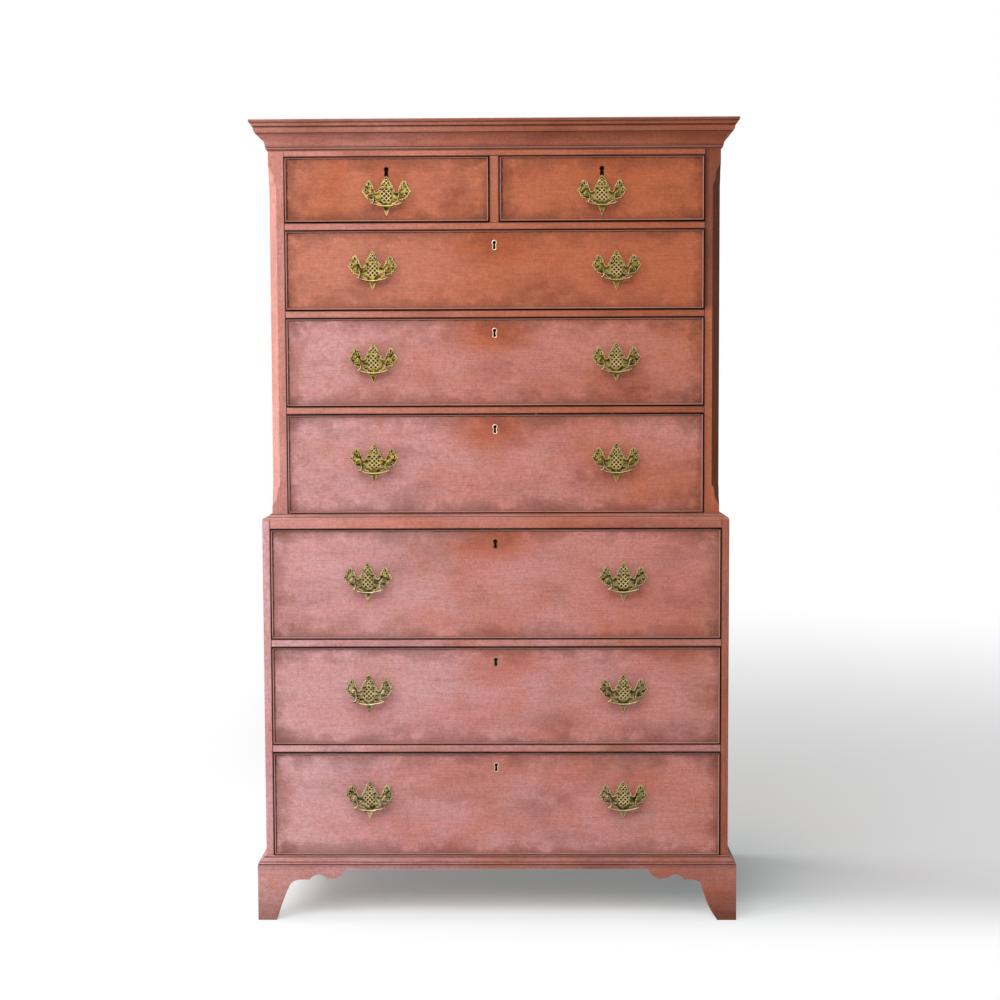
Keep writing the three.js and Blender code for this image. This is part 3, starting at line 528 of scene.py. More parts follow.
class Shape:
    """A mesh under construction. It keeps as attributes the grain's direction, the dark of dirt and painted
    shade, and the wear and painted highlights of arrises.
    """

    def __init__(self, grain="x"):
        self.mesh = bmesh.new()
        self.mesh.verts.layers.float_vector.new("grain")
        self.mesh.loops.layers.float.new("dirt_and_shade")
        self.mesh.loops.layers.float.new("wear_and_highlight")
        self.grain = grain
        self.find_layers()

    def find_layers(self):
        self.grain_layer = self.mesh.verts.layers.float_vector["grain"]
        self.dirt_and_shade_layer = self.mesh.loops.layers.float["dirt_and_shade"]
        self.wear_and_highlight_layer = self.mesh.loops.layers.float["wear_and_highlight"]

    def settle(self):
        """Fixes the order of the elements. After a bevel or a cut, what is made next would take places
        among the earlier ones that change from run to run."""
        data = bpy.data.meshes.new("passing")
        self.mesh.to_mesh(data)
        self.mesh.clear()
        self.mesh.from_mesh(data)
        bpy.data.meshes.remove(data)
        self.find_layers()
        self.mesh.faces.ensure_lookup_table()

    def mark(self, loop, dirt_and_shade, wear_and_highlight):
        loop[self.dirt_and_shade_layer] = dirt_and_shade
        loop[self.wear_and_highlight_layer] = wear_and_highlight

    def board(self, low, high, rounding=ARRIS, grain=None, shade_and_dirt_ways=()):
        """A board between two corners, with its arrises rounded and paled by wear. shade_and_dirt_ways holds
        the ways that its faces beside gaps look: dirt with a painted shade creeps from those over the arrises
        beside them."""
        low, high = Vector(low), Vector(high)
        earlier = len(self.mesh.faces)
        cube = bmesh.ops.create_cube(self.mesh, size=1)["verts"]
        bmesh.ops.scale(self.mesh, vec=high - low, verts=cube)
        bmesh.ops.translate(self.mesh, vec=(low + high) / 2, verts=cube)
        edges = once_each(edge for vertex in cube for edge in vertex.link_edges)
        made = bmesh.ops.bevel(
            self.mesh, geom=edges, offset=rounding, segments=2, profile=0.5, affect="EDGES"
        )
        for face in made["faces"]:
            for loop in face.loops:
                loop[self.wear_and_highlight_layer] = 1.0
        self.settle()
        for way in shade_and_dirt_ways:
            own = self.mesh.faces[earlier:]
            edges = once_each(edge for face in own for edge in face.edges)
            vertices = once_each(vertex for face in own for vertex in face.verts)
            outermost = max((vertex.co for vertex in vertices), key=way.dot)
            bmesh.ops.bisect_plane(
                self.mesh,
                geom=[*own, *edges, *vertices],
                dist=1e-7,
                plane_co=outermost - way * GAP_DIRT_AND_SHADE_REACH,
                plane_no=way,
            )
            self.settle()
        for face in self.mesh.faces[earlier:]:
            for loop in face.loops:
                loop.vert[self.grain_layer] = GRAINS[grain or self.grain]
            for way in shade_and_dirt_ways:
                self.add_gap_shade_and_dirt(face, way, max(low.dot(way), high.dot(way)))
        return self

    def add_gap_shade_and_dirt(self, face, way, surface):
        """Dirt with a painted shade over a face that lies near a board's surface beside a gap, which looks a
        given way.
        """
        depths = [surface - loop.vert.co.dot(way) for loop in face.loops]
        if max(depths) > GAP_DIRT_AND_SHADE_REACH * 1.01:
            return
        thinning = (1 - GAP_DIRT_AND_SHADE_LEFT_SHARE) / (1 - GAP_DIRT_AND_SHADE_THICK_SHARE)
        for loop, depth in zip(face.loops, depths):
            dirt = 1 - thinning * max(0.0, depth / GAP_DIRT_AND_SHADE_REACH - GAP_DIRT_AND_SHADE_THICK_SHARE)
            self.mark(loop, max(loop[self.dirt_and_shade_layer], dirt), 0.0)

    def skin(self, rings, closed=False, dirt_and_shade_marks=None, wear_and_highlight=None, spans=None):
        """A closed skin through rings of points, which go round and meet again or get two flat ends.
        Spans gives the dirt and painted shade, and the wear and painted highlight, of single strips between
        one point of the rings and the next."""
        count = len(rings[0])
        dirt_and_shade_marks = dirt_and_shade_marks or [0.0] * count
        wear_and_highlight = wear_and_highlight or [0.0] * count
        rows = []
        for ring in rings:
            rows.append([self.mesh.verts.new(point) for point in ring])
            for vertex in rows[-1]:
                vertex[self.grain_layer] = GRAINS[self.grain]
        faces = []
        for here, there in zip(rows, rows[1:] + rows[:1] if closed else rows[1:]):
            for i in range(count):
                j = (i + 1) % count
                face = self.mesh.faces.new((here[i], here[j], there[j], there[i]))
                for loop, k in zip(face.loops, (i, j, j, i)):
                    self.mark(loop, *(spans or {}).get(i, (dirt_and_shade_marks[k], wear_and_highlight[k])))
                faces.append(face)
        if not closed:
            faces += [self.mesh.faces.new(rows[0]), self.mesh.faces.new(rows[-1][::-1])]
        bmesh.ops.recalc_face_normals(self.mesh, faces=faces)
        return self

    def turning(self, profile, centre, sides=28):
        """A turned piece on an axis along Y. The profile gives radius and place along the axis in
        millimetres, and the wear there, which is less than nothing where dirt lies."""
        turns = [2 * math.pi * i / sides for i in range(sides)]
        rings = []
        for radius, along, _ in profile:
            ring = [(radius * MM * math.cos(a), along * MM, radius * MM * math.sin(a)) for a in turns]
            rings.append([centre + Vector(point) for point in ring])
        start = len(self.mesh.faces)
        self.skin(rings)
        self.mesh.faces.ensure_lookup_table()
        for face in self.mesh.faces[start:]:
            for loop in face.loops:
                place = (loop.vert.co - centre).y
                wear = min(profile, key=lambda row: abs(row[1] * MM - place))[2]
                self.mark(loop, max(0.0, -wear), max(0.0, wear))
        return self

    def sheet(self, loops, front, thickness, ease, rim, hollow, tail):
        """A pierced sheet that faces -Y: its outline and then its holes, each anticlockwise from the
        front as (x, z). Its front arrises are eased and polished by wear and its cut edges grimy. A rim of
        the given width runs inside the outline, with a grimy hollow beside it, shallow below the tail."""
        eased = [outset(loop, ease if i else -ease) for i, loop in enumerate(loops)]
        levels = ((eased, front), (loops, front + ease), (loops, front + thickness))
        rows = []
        for shapes, y in levels:
            rows.append([[self.mesh.verts.new((p.x, y, p.y)) for p in loop] for loop in shapes])
        chased, depths = [], {}
        for point in grid_inside(eased, CHASING_PITCH, CHASING_MARGIN):
            past_rim = (distance_to(point, eased[0]) - rim) / rim
            deep = min(1, max(0, past_rim)) * min(1, max(0, 2 - past_rim / 3))
            deep *= 0.3 if point.y < tail else 1
            vertex = self.mesh.verts.new((point.x, front + hollow * deep, point.y))
            depths[vertex] = deep
            chased.append(vertex)
        flat = [vertex for loop in rows[0] for vertex in loop] + chased
        places = [Vector((vertex.co.x, vertex.co.z)) for vertex in chased]
        faces = [self.mesh.faces.new([flat[i] for i in triple]) for triple in filled(eased, places)]
        for face in faces:
            for loop in face.loops:
                brightened = 0.0 if loop.vert in depths else 0.7
                self.mark(loop, 0.85 * depths.get(loop.vert, 0.1), brightened)
        flat = [vertex for loop in rows[2] for vertex in loop]
        faces += [self.mesh.faces.new([flat[i] for i in triple]) for triple in filled(eased)]
        for level, dirt in ((0, 0.0), (1, 0.85)):
            for here, there in zip(rows[level], rows[level + 1]):
                for i in range(len(here)):
                    j = (i + 1) % len(here)
                    face = self.mesh.faces.new((here[i], here[j], there[j], there[i]))
                    for loop in face.loops:
                        self.mark(loop, dirt, 0.9 - dirt)
                    faces.append(face)
        bmesh.ops.recalc_face_normals(self.mesh, faces=faces)
        return self

    def add(self, mesh):
        """Takes in a finished mesh."""
        self.mesh.from_mesh(mesh)
        for vertex in self.mesh.verts:
            if not vertex[self.grain_layer].length:
                vertex[self.grain_layer] = GRAINS[self.grain]
        return self

    def done(self, name, sharp=32):
        """The mesh, shaded smooth but for the edges that are sharper than an angle in degrees."""
        mesh = bpy.data.meshes.new(name)
        self.mesh.to_mesh(mesh)
        self.mesh.free()
        mesh.shade_smooth()
        mesh.set_sharp_from_angle(angle=math.radians(sharp))
        return mesh


def added(name, data):
    """A new object at the origin of the scene."""
    obj = bpy.data.objects.new(name, data)
    bpy.context.scene.collection.objects.link(obj)
    return obj


def piece(mesh, name, finish, body, *stands_for):
    """A finished piece, which moves with a body and stands for CAD nodes."""
    mesh.materials.clear()
    mesh.materials.append(finish)
    obj = added(name, mesh)
    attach(obj, body)
    if stands_for:
        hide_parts(*stands_for)


def evaluated(mesh, modify):
    """The mesh after the modifier that modify puts on a passing object, as a plain mesh."""
    obj = added("passing", mesh)
    modify(obj)
    graph = bpy.context.evaluated_depsgraph_get()
    result = bpy.data.meshes.new_from_object(
        obj.evaluated_get(graph), preserve_all_data_layers=True, depsgraph=graph
    )
    bpy.data.objects.remove(obj)
    return result


def outline(rows, steps=8):
    """Points of an outline. A row is (x, y) for a straight stretch to that point, or (x, y, bulge)
    for an arc that stands out to the right of the way by bulge."""
    points = [Vector(rows[0][:2])]
    for row in rows[1:]:
        start, end = points[-1], Vector(row[:2])
        if len(row) == 2:
            points.append(end)
            continue
        bulge = row[2]
        half = (end - start).length / 2
        radius = (half * half + bulge * bulge) / (2 * bulge)
        rightward = Vector((end.y - start.y, start.x - end.x)).normalized()
        centre = (start + end) / 2 + rightward * (bulge - radius)
        sweep = 2 * math.atan2(half, abs(radius) - abs(bulge)) * math.copysign(1, bulge)
        for i in range(1, steps + 1):
            turn = Matrix.Rotation(sweep * i / steps, 2)
            points.append(centre + turn @ (start - centre))
    return points


def in_mm(rows):
    return [tuple(value * MM for value in row) for row in rows]


# A corner of a moulding is sharp where its section turns by this much, and the dirt and painted shade
# of a quirk, and the wear of an arris, reach this far to both sides
SHARP_TURN = math.radians(22)
CORNER_REACH = 0.9 * MM


def marked_section(points, creep):
    """Adds a point on both sides of each sharp corner. Gives the points, how dark each is with dirt and a
    painted shadow that creep along the outline from the quirks, and how much wear it has. The outline runs
    anticlockwise."""
    places, dirt_and_shade_marks, wear_and_highlight, quirks = [], [], [], []
    for i, here in enumerate(points):
        arriving = here - points[i - 1]
        leaving = points[(i + 1) % len(points)] - here
        turn = math.atan2(arriving.x * leaving.y - arriving.y * leaving.x, arriving.dot(leaving))
        if abs(turn) < SHARP_TURN:
            places.append(here)
            dirt_and_shade_marks.append(0.0)
            wear_and_highlight.append(0.0)
            continue
        before = here - arriving.normalized() * min(CORNER_REACH, arriving.length * 0.4)
        after = here + leaving.normalized() * min(CORNER_REACH, leaving.length * 0.4)
        places += [before, here, after]
        dirt_and_shade_marks += [0.0, 1.0 if turn < 0 else 0.0, 0.0]
        wear_and_highlight += [0.0, 1.0 if turn > 0 else 0.0, 0.0]
        if turn < 0:
            quirks.append(here)
    for i, place in enumerate(places):
        nearest = min((place - quirk).length for quirk in quirks)
        if not wear_and_highlight[i]:
            dirt_and_shade_marks[i] = max(dirt_and_shade_marks[i], 1 - nearest / creep)
    return places, dirt_and_shade_marks, wear_and_highlight


def outset(points, amount):
    """A closed anticlockwise outline moved outwards."""
    moved = []
    for i, here in enumerate(points):
        arriving = (here - points[i - 1]).normalized()
        leaving = (points[(i + 1) % len(points)] - here).normalized()
        way = (arriving + leaving).normalized()
        outward = Vector((way.y, -way.x))
        stretch = max(0.5, outward.dot(Vector((arriving.y, -arriving.x))))
        moved.append(here + outward * (amount / stretch))
    return moved


def inside(point, loop):
    """Whether a point lies in a closed outline."""
    crossings = 0
    for a, b in zip(loop, loop[1:] + loop[:1]):
        if (a.y > point.y) != (b.y > point.y):
            crossings += point.x < a.x + (b.x - a.x) * (point.y - a.y) / (b.y - a.y)
    return crossings % 2 == 1


def distance_to(point, loop):
    """The distance from a point to a closed outline."""
    nearest = math.inf
    for a, b in zip(loop, loop[1:] + loop[:1]):
        along = b - a
        share = min(1, max(0, (point - a).dot(along) / along.length_squared))
        nearest = min(nearest, (a + along * share - point).length)
    return nearest


# How far apart the points of a chased face are, and how far they stay from its edges
CHASING_PITCH = 1.5 * MM
CHASING_MARGIN = 0.7 * MM


def grid_inside(loops, pitch, margin):
    """Points of a staggered grid in an outline with holes, clear of every edge by the margin."""
    outer = loops[0]
    points = []
    across = math.ceil(max(abs(p.x) for p in outer) / pitch)
    upward = math.ceil(max(abs(p.y) for p in outer) / pitch)
    for i in range(-across, across + 1):
        for j in range(-upward, upward + 1):
            point = Vector((i * pitch, (j + 0.5 * (i % 2)) * pitch))
            if inside(point, outer) and not any(inside(point, hole) for hole in loops[1:]):
                if min(distance_to(point, loop) for loop in loops) > margin:
                    points.append(point)
    return points


def filled(loops, extra=()):
    """Triangles over an outline with holes and over extra points in it, as numbers of its points one
    loop after the other and then the extra ones."""
    points = [point for loop in loops for point in loop]
    points += extra
    edges, start = [], 0
    for loop in loops:
        edges += [(start + i, start + (i + 1) % len(loop)) for i in range(len(loop))]
        start += len(loop)
    places, _, triangles, sources, _, _ = delaunay_2d_cdt(points, edges, [], 0, 1e-9)
    kept = []
    for triangle in triangles:
        middle = sum((places[i] for i in triangle), Vector((0, 0))) / 3
        if sum(inside(middle, loop) for loop in loops) % 2 == 1:
            kept.append([sources[i][0] for i in triangle])
    return kept


# Geometry Nodes

def finished_mesh(tree, result, geometry, material):
    """Ends a tree: real geometry instead of instances, in one material."""
    solid = node(tree, "GeometryNodeRealizeInstances", {"Geometry": geometry}).outputs[0]
    inputs = {"Geometry": solid, "Material": material}
    tree.links.new(node(tree, "GeometryNodeSetMaterial", inputs).outputs[0], result[0])
    return tree


def row_tree():
    """Repeats the given piece along a line, with a small seeded unevenness."""
    tree, given, result = new_group(
        "row_of_copies",
        "Geometry",
        [
            ("Piece", "Geometry"), ("Count", "Int", 2), ("Step", "Vector"), ("Unevenness", "Vector"),
            ("Seed", "Int", 1), ("Finish", "Material"),
        ],
        [("Row", "Geometry")],
    )
    inputs = {"Count": given["Count"], "Offset": given["Step"]}
    line = node(tree, "GeometryNodeMeshLine", inputs, mode="OFFSET").outputs[0]
    inputs = {0: given["Unevenness"], "Scale": -1.0}
    lowest = node(tree, "ShaderNodeVectorMath", inputs, operation="SCALE").outputs[0]
    inputs = {0: lowest, 1: given["Unevenness"], "Seed": given["Seed"]}
    uneven = node(tree, "FunctionNodeRandomValue", inputs, data_type="FLOAT_VECTOR").outputs[0]
    moved = node(tree, "GeometryNodeSetPosition", {"Geometry": line, "Offset": uneven}).outputs[0]
    inputs = {"Points": moved, "Instance": given["Piece"]}
    copies = node(tree, "GeometryNodeInstanceOnPoints", inputs).outputs[0]
    return finished_mesh(tree, result, copies, given["Finish"])


def bar_tree():
    """Sweeps a round bar along the given line, as thick at each point as its girth says."""
    tree, given, result = new_group(
        "bar_along_line",
        "Geometry",
        [("Line", "Geometry"), ("Sides", "Int", 12), ("Finish", "Material")],
        [("Bar", "Geometry")],
    )
    curve = node(tree, "GeometryNodeMeshToCurve", {"Mesh": given["Line"]}).outputs[0]
    girth = node(tree, "GeometryNodeInputNamedAttribute", {"Name": "girth"}, data_type="FLOAT").outputs[0]
    inputs = {"Resolution": given["Sides"], "Radius": 1.0}
    circle = node(tree, "GeometryNodeCurvePrimitiveCircle", inputs).outputs[0]
    inputs = {"Curve": curve, "Profile Curve": circle, "Scale": girth, "Fill Caps": True}
    swept = node(tree, "GeometryNodeCurveToMesh", inputs).outputs[0]
    return finished_mesh(tree, result, swept, given["Finish"])


ROW_TREE = row_tree()
BAR_TREE = bar_tree()


def grown(mesh, tree, values):
    """The mesh that a Geometry Nodes tree makes of a mesh, with the tree's inputs set by name."""
    def modify(obj):
        modifier = obj.modifiers.new("grow", "NODES")
        modifier.node_group = tree
        for socket in tree.interface.items_tree:
            if socket.item_type == "SOCKET" and socket.in_out == "INPUT" and socket.name in values:
                modifier[socket.identifier] = values[socket.name]

    return evaluated(mesh, modify)


def row(mesh, count, step, finish, unevenness=(0, 0, 0), seed=1):
    values = {"Count": count, "Step": step, "Unevenness": unevenness, "Seed": seed, "Finish": finish}
    return grown(mesh, ROW_TREE, values)


# Cases

UPPER_LOW, UPPER_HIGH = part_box("upper_carcase")
LOWER_LOW, LOWER_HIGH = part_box("lower_carcase")
UPPER_PANEL_LOW, UPPER_PANEL_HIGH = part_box("upper_back_panel")
LOWER_PANEL_LOW, LOWER_PANEL_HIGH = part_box("lower_back_panel")
POST_WIDTH = 36 * MM
POST_DEPTH = 42 * MM
UPPER_SIDE = 21 * MM
LOWER_SIDE = 18 * MM
UPPER_BOTTOM = 13.7 * MM
UPPER_TOP = 20 * MM
TOP_PLANKS = 3
FRIEZE_THICKNESS = 22 * MM
GUIDE_HEIGHT = 12 * MM
LOWER_BOTTOM = 28 * MM
LOWER_TOP = 20 * MM

# The cant of a corner post: its width, how far it stays from the post's ends, and the length of the
# stops that bring it to nothing. A stop is given as shares of its length and of the cant's depth,
# and past it the cant goes on as a mere easing of the corner.
CANT_WIDTH = 18 * MM
CANT_BOTTOM_MARGIN = 33 * MM
CANT_TOP_MARGIN = 20 * MM
CANT_STOP = 46 * MM
CANT_STOP_SHARES = [
    (0, 0.02), (0.03, 0.14), (0.1, 0.24), (0.2, 0.38), (0.3, 0.51), (0.4, 0.6),
    (0.54, 0.64), (0.7, 0.66), (0.8, 0.72), (0.88, 0.82), (0.95, 0.94), (1, 1),
]
EASED_SHARE = 0.02

# The shade on the right post's front face: how wide it is beside the drawers, how far its lower end
# takes to fade, and how dark it is there, on the rest of the face and on the cant
STILE_SHADE = 12 * MM
SHADE_FADE = 8 * MM
SHADE_BY_DRAWER = 0.8
SHADE_ON_FACE = 0.46
SHADE_ON_CANT = 0.72


def mirrored(sign, low, high):
    """The corners of a board, or of its mirror image across the middle of the chest."""
    if sign > 0:
        return low, high
    return (-high[0], *low[1:]), (-low[0], *high[1:])


def case_board(name, node_name, grain, finish, corners, shade_and_dirt_ways=()):
    """A board of a case that is a piece of its own."""
    board = Shape(grain).board(*corners, shade_and_dirt_ways=shade_and_dirt_ways)
    piece(board.done(name), name, finish, "chest", node_name)


def corner_post(side, sign, head):
    """A stile of the upper chest with a canted corner that ends in lamb's-tongue stops. The right
    one has a painted shade beside the upper two rows of drawers and on its cant, and the left one a painted
    highlight on its cant."""
    outer, inner = UPPER_HIGH.x, UPPER_HIGH.x - POST_WIDTH
    front, back = UPPER_LOW.y, UPPER_LOW.y + POST_DEPTH
    foot = UPPER_LOW.z + CANT_BOTTOM_MARGIN
    top = head - CANT_TOP_MARGIN
    shade_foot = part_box("upper_drawer_1_front")[0].z
    stations = [(UPPER_LOW.z, EASED_SHARE), (foot - MM, EASED_SHARE)]
    stations += [(foot + along * CANT_STOP, deep) for along, deep in CANT_STOP_SHARES]
    stations += [(shade_foot - SHADE_FADE, 1), (shade_foot + SHADE_FADE, 1)]
    stations += [(top - along * CANT_STOP, deep) for along, deep in reversed(CANT_STOP_SHARES)]
    stations += [(top + MM, EASED_SHARE), (UPPER_HIGH.z, EASED_SHARE)]
    rings = []
    for z, deep in stations:
        cut = deep * CANT_WIDTH
        ring = [
            (inner, front + ARRIS), (inner + ARRIS, front), (inner + GAP_DIRT_AND_SHADE_REACH, front),
            (inner + STILE_SHADE, front), (outer - cut, front), (outer, front + cut),
            (outer, back), (inner, back),
        ]
        rings.append([(sign * x, y, z) for x, y in ring])
    shaded = sign > 0
    # A painted shade on the right cant, and a painted highlight on the left one
    cant = (SHADE_ON_CANT, 0.0) if shaded else (0.0, 0.5)
    dirt_and_shade_marks = [1, 1, 0, 0, 0, 0, 0, 1]
    shape = Shape("z").skin(rings, dirt_and_shade_marks=dirt_and_shade_marks, spans={0: (1.0, 0.0), 4: cant})
    # Painted shade on the right post's front face over the upper drawers, darkest beside the drawers
    for face in shape.mesh.faces if shaded else ():
        if max(loop.vert.co.y for loop in face.loops) > front + 0.1 * MM:
            continue
        for loop in face.loops:
            place = loop.vert.co
            if place.z > shade_foot:
                by_drawer = place.x < inner + 1.1 * GAP_DIRT_AND_SHADE_REACH
                loop[shape.dirt_and_shade_layer] = SHADE_BY_DRAWER if by_drawer else SHADE_ON_FACE
    finish = SHADED_RIGHT_POST_WASH if shaded else UPPER_WASH
    piece(shape.done("post"), "upper_corner_post_" + side, finish, "chest", "upper_carcase")


def upper_case():
    low, high = UPPER_LOW, UPPER_HIGH
    frieze_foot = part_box("rail_under_short_drawers")[1].z + SEAT_GAP
    panel_face = UPPER_PANEL_LOW.y - SEAT_GAP
    half = high.x - UPPER_SIDE
    inner = high.x - POST_WIDTH
    behind_posts = low.y + POST_DEPTH
    behind_frieze = low.y + FRIEZE_THICKNESS
    floor = low.z + UPPER_BOTTOM
    ceiling = high.z - UPPER_TOP
    for side, sign in HANDS:
        corner_post(side, sign, frieze_foot)
        corners = mirrored(sign, (half, behind_posts + SEAM, low.z), high)
        case_board("upper_side_" + side, "upper_carcase", "z", UPPER_WASH, corners)
        corners = mirrored(sign, (inner, behind_posts, floor), (half, panel_face, floor + GUIDE_HEIGHT))
        case_board("upper_drawer_guide_" + side, "upper_carcase", "y", RAW_PINE, corners)
    corners = (-inner, low.y, low.z), (inner, panel_face, floor)
    case_board("upper_bottom_board", "upper_carcase", "x", UPPER_WASH, corners)
    corners = (-inner, low.y, frieze_foot), (inner, behind_frieze, high.z)
    case_board("upper_frieze", "upper_carcase", "x", UPPER_RAIL_WASH, corners, shade_and_dirt_ways=[-UP])
    plank_depth = (panel_face - behind_posts) / TOP_PLANKS
    plank_end = (half, behind_posts + plank_depth - SEAM, high.z)
    plank = Shape("x").board((-half, behind_posts, ceiling), plank_end)
    top = row(plank.done("top"), TOP_PLANKS, (0, plank_depth, 0), RAW_PINE)
    piece(top, "upper_top_boards", RAW_PINE, "chest", "upper_carcase")
    corners = (-inner, behind_frieze, ceiling), (inner, behind_posts - SEAM, high.z)
    case_board("upper_top_strip", "upper_carcase", "x", RAW_PINE, corners)


def lower_case():
    low, high = LOWER_LOW, LOWER_HIGH
    panel_face = LOWER_PANEL_LOW.y - SEAT_GAP
    inner = high.x - LOWER_SIDE
    for side, sign in HANDS:
        corners = mirrored(sign, (inner, low.y, low.z), high)
        finish = LOWER_WASH if sign < 0 else SHADED_SIDE_WASH
        inward = Vector((-sign, 0, 0))
        case_board("lower_side_" + side, "lower_carcase", "z", finish, corners, shade_and_dirt_ways=[inward])
    for name, foot, top, finish, toward_drawer in (
        ("lower_bottom_board", low.z, low.z + LOWER_BOTTOM, LOWER_WASH, UP),
        ("lower_top_board", high.z - LOWER_TOP, high.z, WAIST_WASH, -UP),
    ):
        corners = (-inner, low.y, foot), (inner, panel_face, top)
        case_board(name, "lower_carcase", "x", finish, corners, shade_and_dirt_ways=[toward_drawer])


RAIL_DEPTH = 62 * MM
UPPER_RAIL = 17 * MM
DUSTBOARD_SINK = 3 * MM
STILE_WIDTH = 22 * MM
PARTITION_THICKNESS = 16 * MM


def rail(node_name, finish, has_guides):
    """A rail at the front of a row of drawers, with the dustboard behind it and, where the case has
    corner posts, a guide along each side. The rail under the short drawers carries the stile and
    the partition between them."""
    low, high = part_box(node_name)
    parts_drawers = node_name == "rail_under_short_drawers"
    top = low.z + (UPPER_RAIL if has_guides else high.z - low.z)
    inner = high.x - (POST_WIDTH - UPPER_SIDE if has_guides else 0)
    front = Shape("x").board((-inner, low.y, low.z), (inner, low.y + RAIL_DEPTH, top), shade_and_dirt_ways=[-UP, UP])
    if parts_drawers:
        half = STILE_WIDTH / 2
        corners = (-half, low.y, top), (half, low.y + RAIL_DEPTH, high.z)
        front.board(*corners, grain="z", shade_and_dirt_ways=[Vector((1, 0, 0)), Vector((-1, 0, 0))])
    piece(front.done(node_name), node_name + "_front", finish, "chest", node_name)
    start = low.y + RAIL_DEPTH + SEAM
    panel_low = (-high.x, start, low.z + DUSTBOARD_SINK)
    panel = Shape("x").board(panel_low, (high.x, high.y, top - DUSTBOARD_SINK))
    for _, sign in HANDS if has_guides else ():
        corners = (inner, start, low.z), (high.x, high.y, top + GUIDE_HEIGHT)
        panel.board(*mirrored(sign, *corners), grain="y")
    if parts_drawers:
        half = PARTITION_THICKNESS / 2
        panel.board((-half, start, top), (half, high.y, high.z), grain="y")
    piece(panel.done(node_name), node_name + "_dustboard", RAW_PINE, "chest", node_name)


BACK_BOARDS = 5
BACK_BOARD_GAP = 0.8 * MM
NAIL_ROWS = 3
NAIL_INSET = 30 * MM
NAIL_HEIGHT = 1.0 * MM
NAIL_HEAD = [(2.6, 0, 0), (2.6, 0.4, 1), (1.6, 0.8, 1), (0.1, 0.9, 1)]


def back_boards(name, node_name, low, high):
    """Upright backboards with open joints, nailed at the top, the middle and the bottom."""
    width = (high.x - low.x) / BACK_BOARDS
    face = high.y - NAIL_HEIGHT
    board = Shape("z").board(low, (low.x + width - BACK_BOARD_GAP, face, high.z), rounding=1.2 * MM)
    boards = row(board.done(name), BACK_BOARDS, (width, 0, 0), RAW_PINE, (0, 0.25 * MM, 0), seed=4)
    piece(boards, name, RAW_PINE, "chest", node_name)
    place = Vector((low.x + NAIL_INSET, face, low.z + NAIL_INSET))
    nail = Shape("x").turning(NAIL_HEAD, place, sides=10)
    pair_step = (width - 2 * NAIL_INSET, 0, 0)
    pair = row(nail.done("nail"), 2, pair_step, OLD_IRON, (3 * MM, 0, 4 * MM), seed=2)
    line = row(pair, BACK_BOARDS, (width, 0, 0), OLD_IRON, (2 * MM, 0, 5 * MM), seed=7)
    row_step = (0, 0, (high.z - low.z - 2 * NAIL_INSET) / (NAIL_ROWS - 1))
    piece(row(line, NAIL_ROWS, row_step, OLD_IRON), name + "_nails", OLD_IRON, "chest")


# Mouldings. A section is in millimetres: reach from the case's face and rise over its foot.

CORNICE_SECTION = [
    (0.3, 0), (1, 0), (2.4, 2.6, -0.5), (2.4, 3.4), (3.4, 8.2, 2.3), (3.4, 9.2), (5.8, 9.2),
    (22.4, 36, -4.6), (22.4, 38), (26, 38), (28.8, 49.6, 0.7), (28.8, 51.2), (30, 51.2),
    (33.4, 55.4, 0.9), (36, 59, -0.7), (36, 60.4), (38, 60.4), (38, 66), (0.3, 66),
]
WAIST_SECTION = [
    (0.3, 0), (20, 0), (20, 1.2), (13.4, 6.2, 1.6), (12, 6.2), (12, 7.4), (10.8, 7.8),
    (4.4, 12.6, -1.3), (4, 12.6), (4, 13.7), (0.3, 13.7),
]
BASE_SECTION = [
    (0.3, 0), (18, 0), (18, 9.2), (16.6, 9.2), (16.6, 10.6), (14.6, 14.8, 1.7), (13.2, 14.8),
    (13.2, 16.2), (9.4, 20.6, 1.1), (5.4, 24.6, -1.1), (4, 24.6), (4, 28), (0.3, 28),
]


def moulding(node_name, section, case_low, case_high, finish, creep):
    """A moulding in three mitred lengths, round the front and the sides of a case. Dirt with a painted
    shadow creeps that far from its quirks."""
    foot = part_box(node_name)[0].z
    points, dirt_and_shade_marks, wear_and_highlight = marked_section(outline(in_mm(section), 7), creep)
    half, front, back = case_high.x, case_low.y, case_high.y

    def length(part, grain, *rings):
        shape = Shape(grain).skin(rings, dirt_and_shade_marks=dirt_and_shade_marks, wear_and_highlight=wear_and_highlight)
        piece(shape.done(part, 24), node_name + "_" + part, finish, "chest", node_name)

    def mitred(sign, trim_x, trim_y):
        return [(sign * (half + p.x - trim_x), front - p.x + trim_y, foot + p.y) for p in points]

    length("front", "x", mitred(-1, SEAM, 0), mitred(1, SEAM, 0))
    for side, sign in HANDS:
        square = [(sign * (half + p.x), back, foot + p.y) for p in points]
        length(side, "y", mitred(sign, 0, SEAM), square)


# Feet. An outline is in millimetres from the foot's outer corner on the floor.

BRACKET_THICKNESS = 20 * MM
BRACKET_EASE = 0.9 * MM
BLOCK_WIDTH = 17 * MM
BLOCK_RISE = 6 * MM
BRACKET_SCALLOPS = [(119.5, 94.5, -0.8), (160, 98, -10.5), (179, 97.4), (203.5, 119.2, 3.6), (0, 119.2)]
BRACKET_OUTLINE = [
    (0, 0), (38.5, 0), (43.8, 3.8, 1.5), (69.5, 73, -1.6), (92.5, 94.2, -4.4), *BRACKET_SCALLOPS,
]
# The right foot's front is cut fuller over its toe
FULL_BRACKET_OUTLINE = [
    (0, 0), (38.5, 0), (46, 4, 1.8), (78.5, 79, 4.6), (97, 94.2, -4), *BRACKET_SCALLOPS,
]
REAR_BRACE_OUTLINE = [(0, 0), (42.5, 0), (118, 119.2), (0, 119.2)]


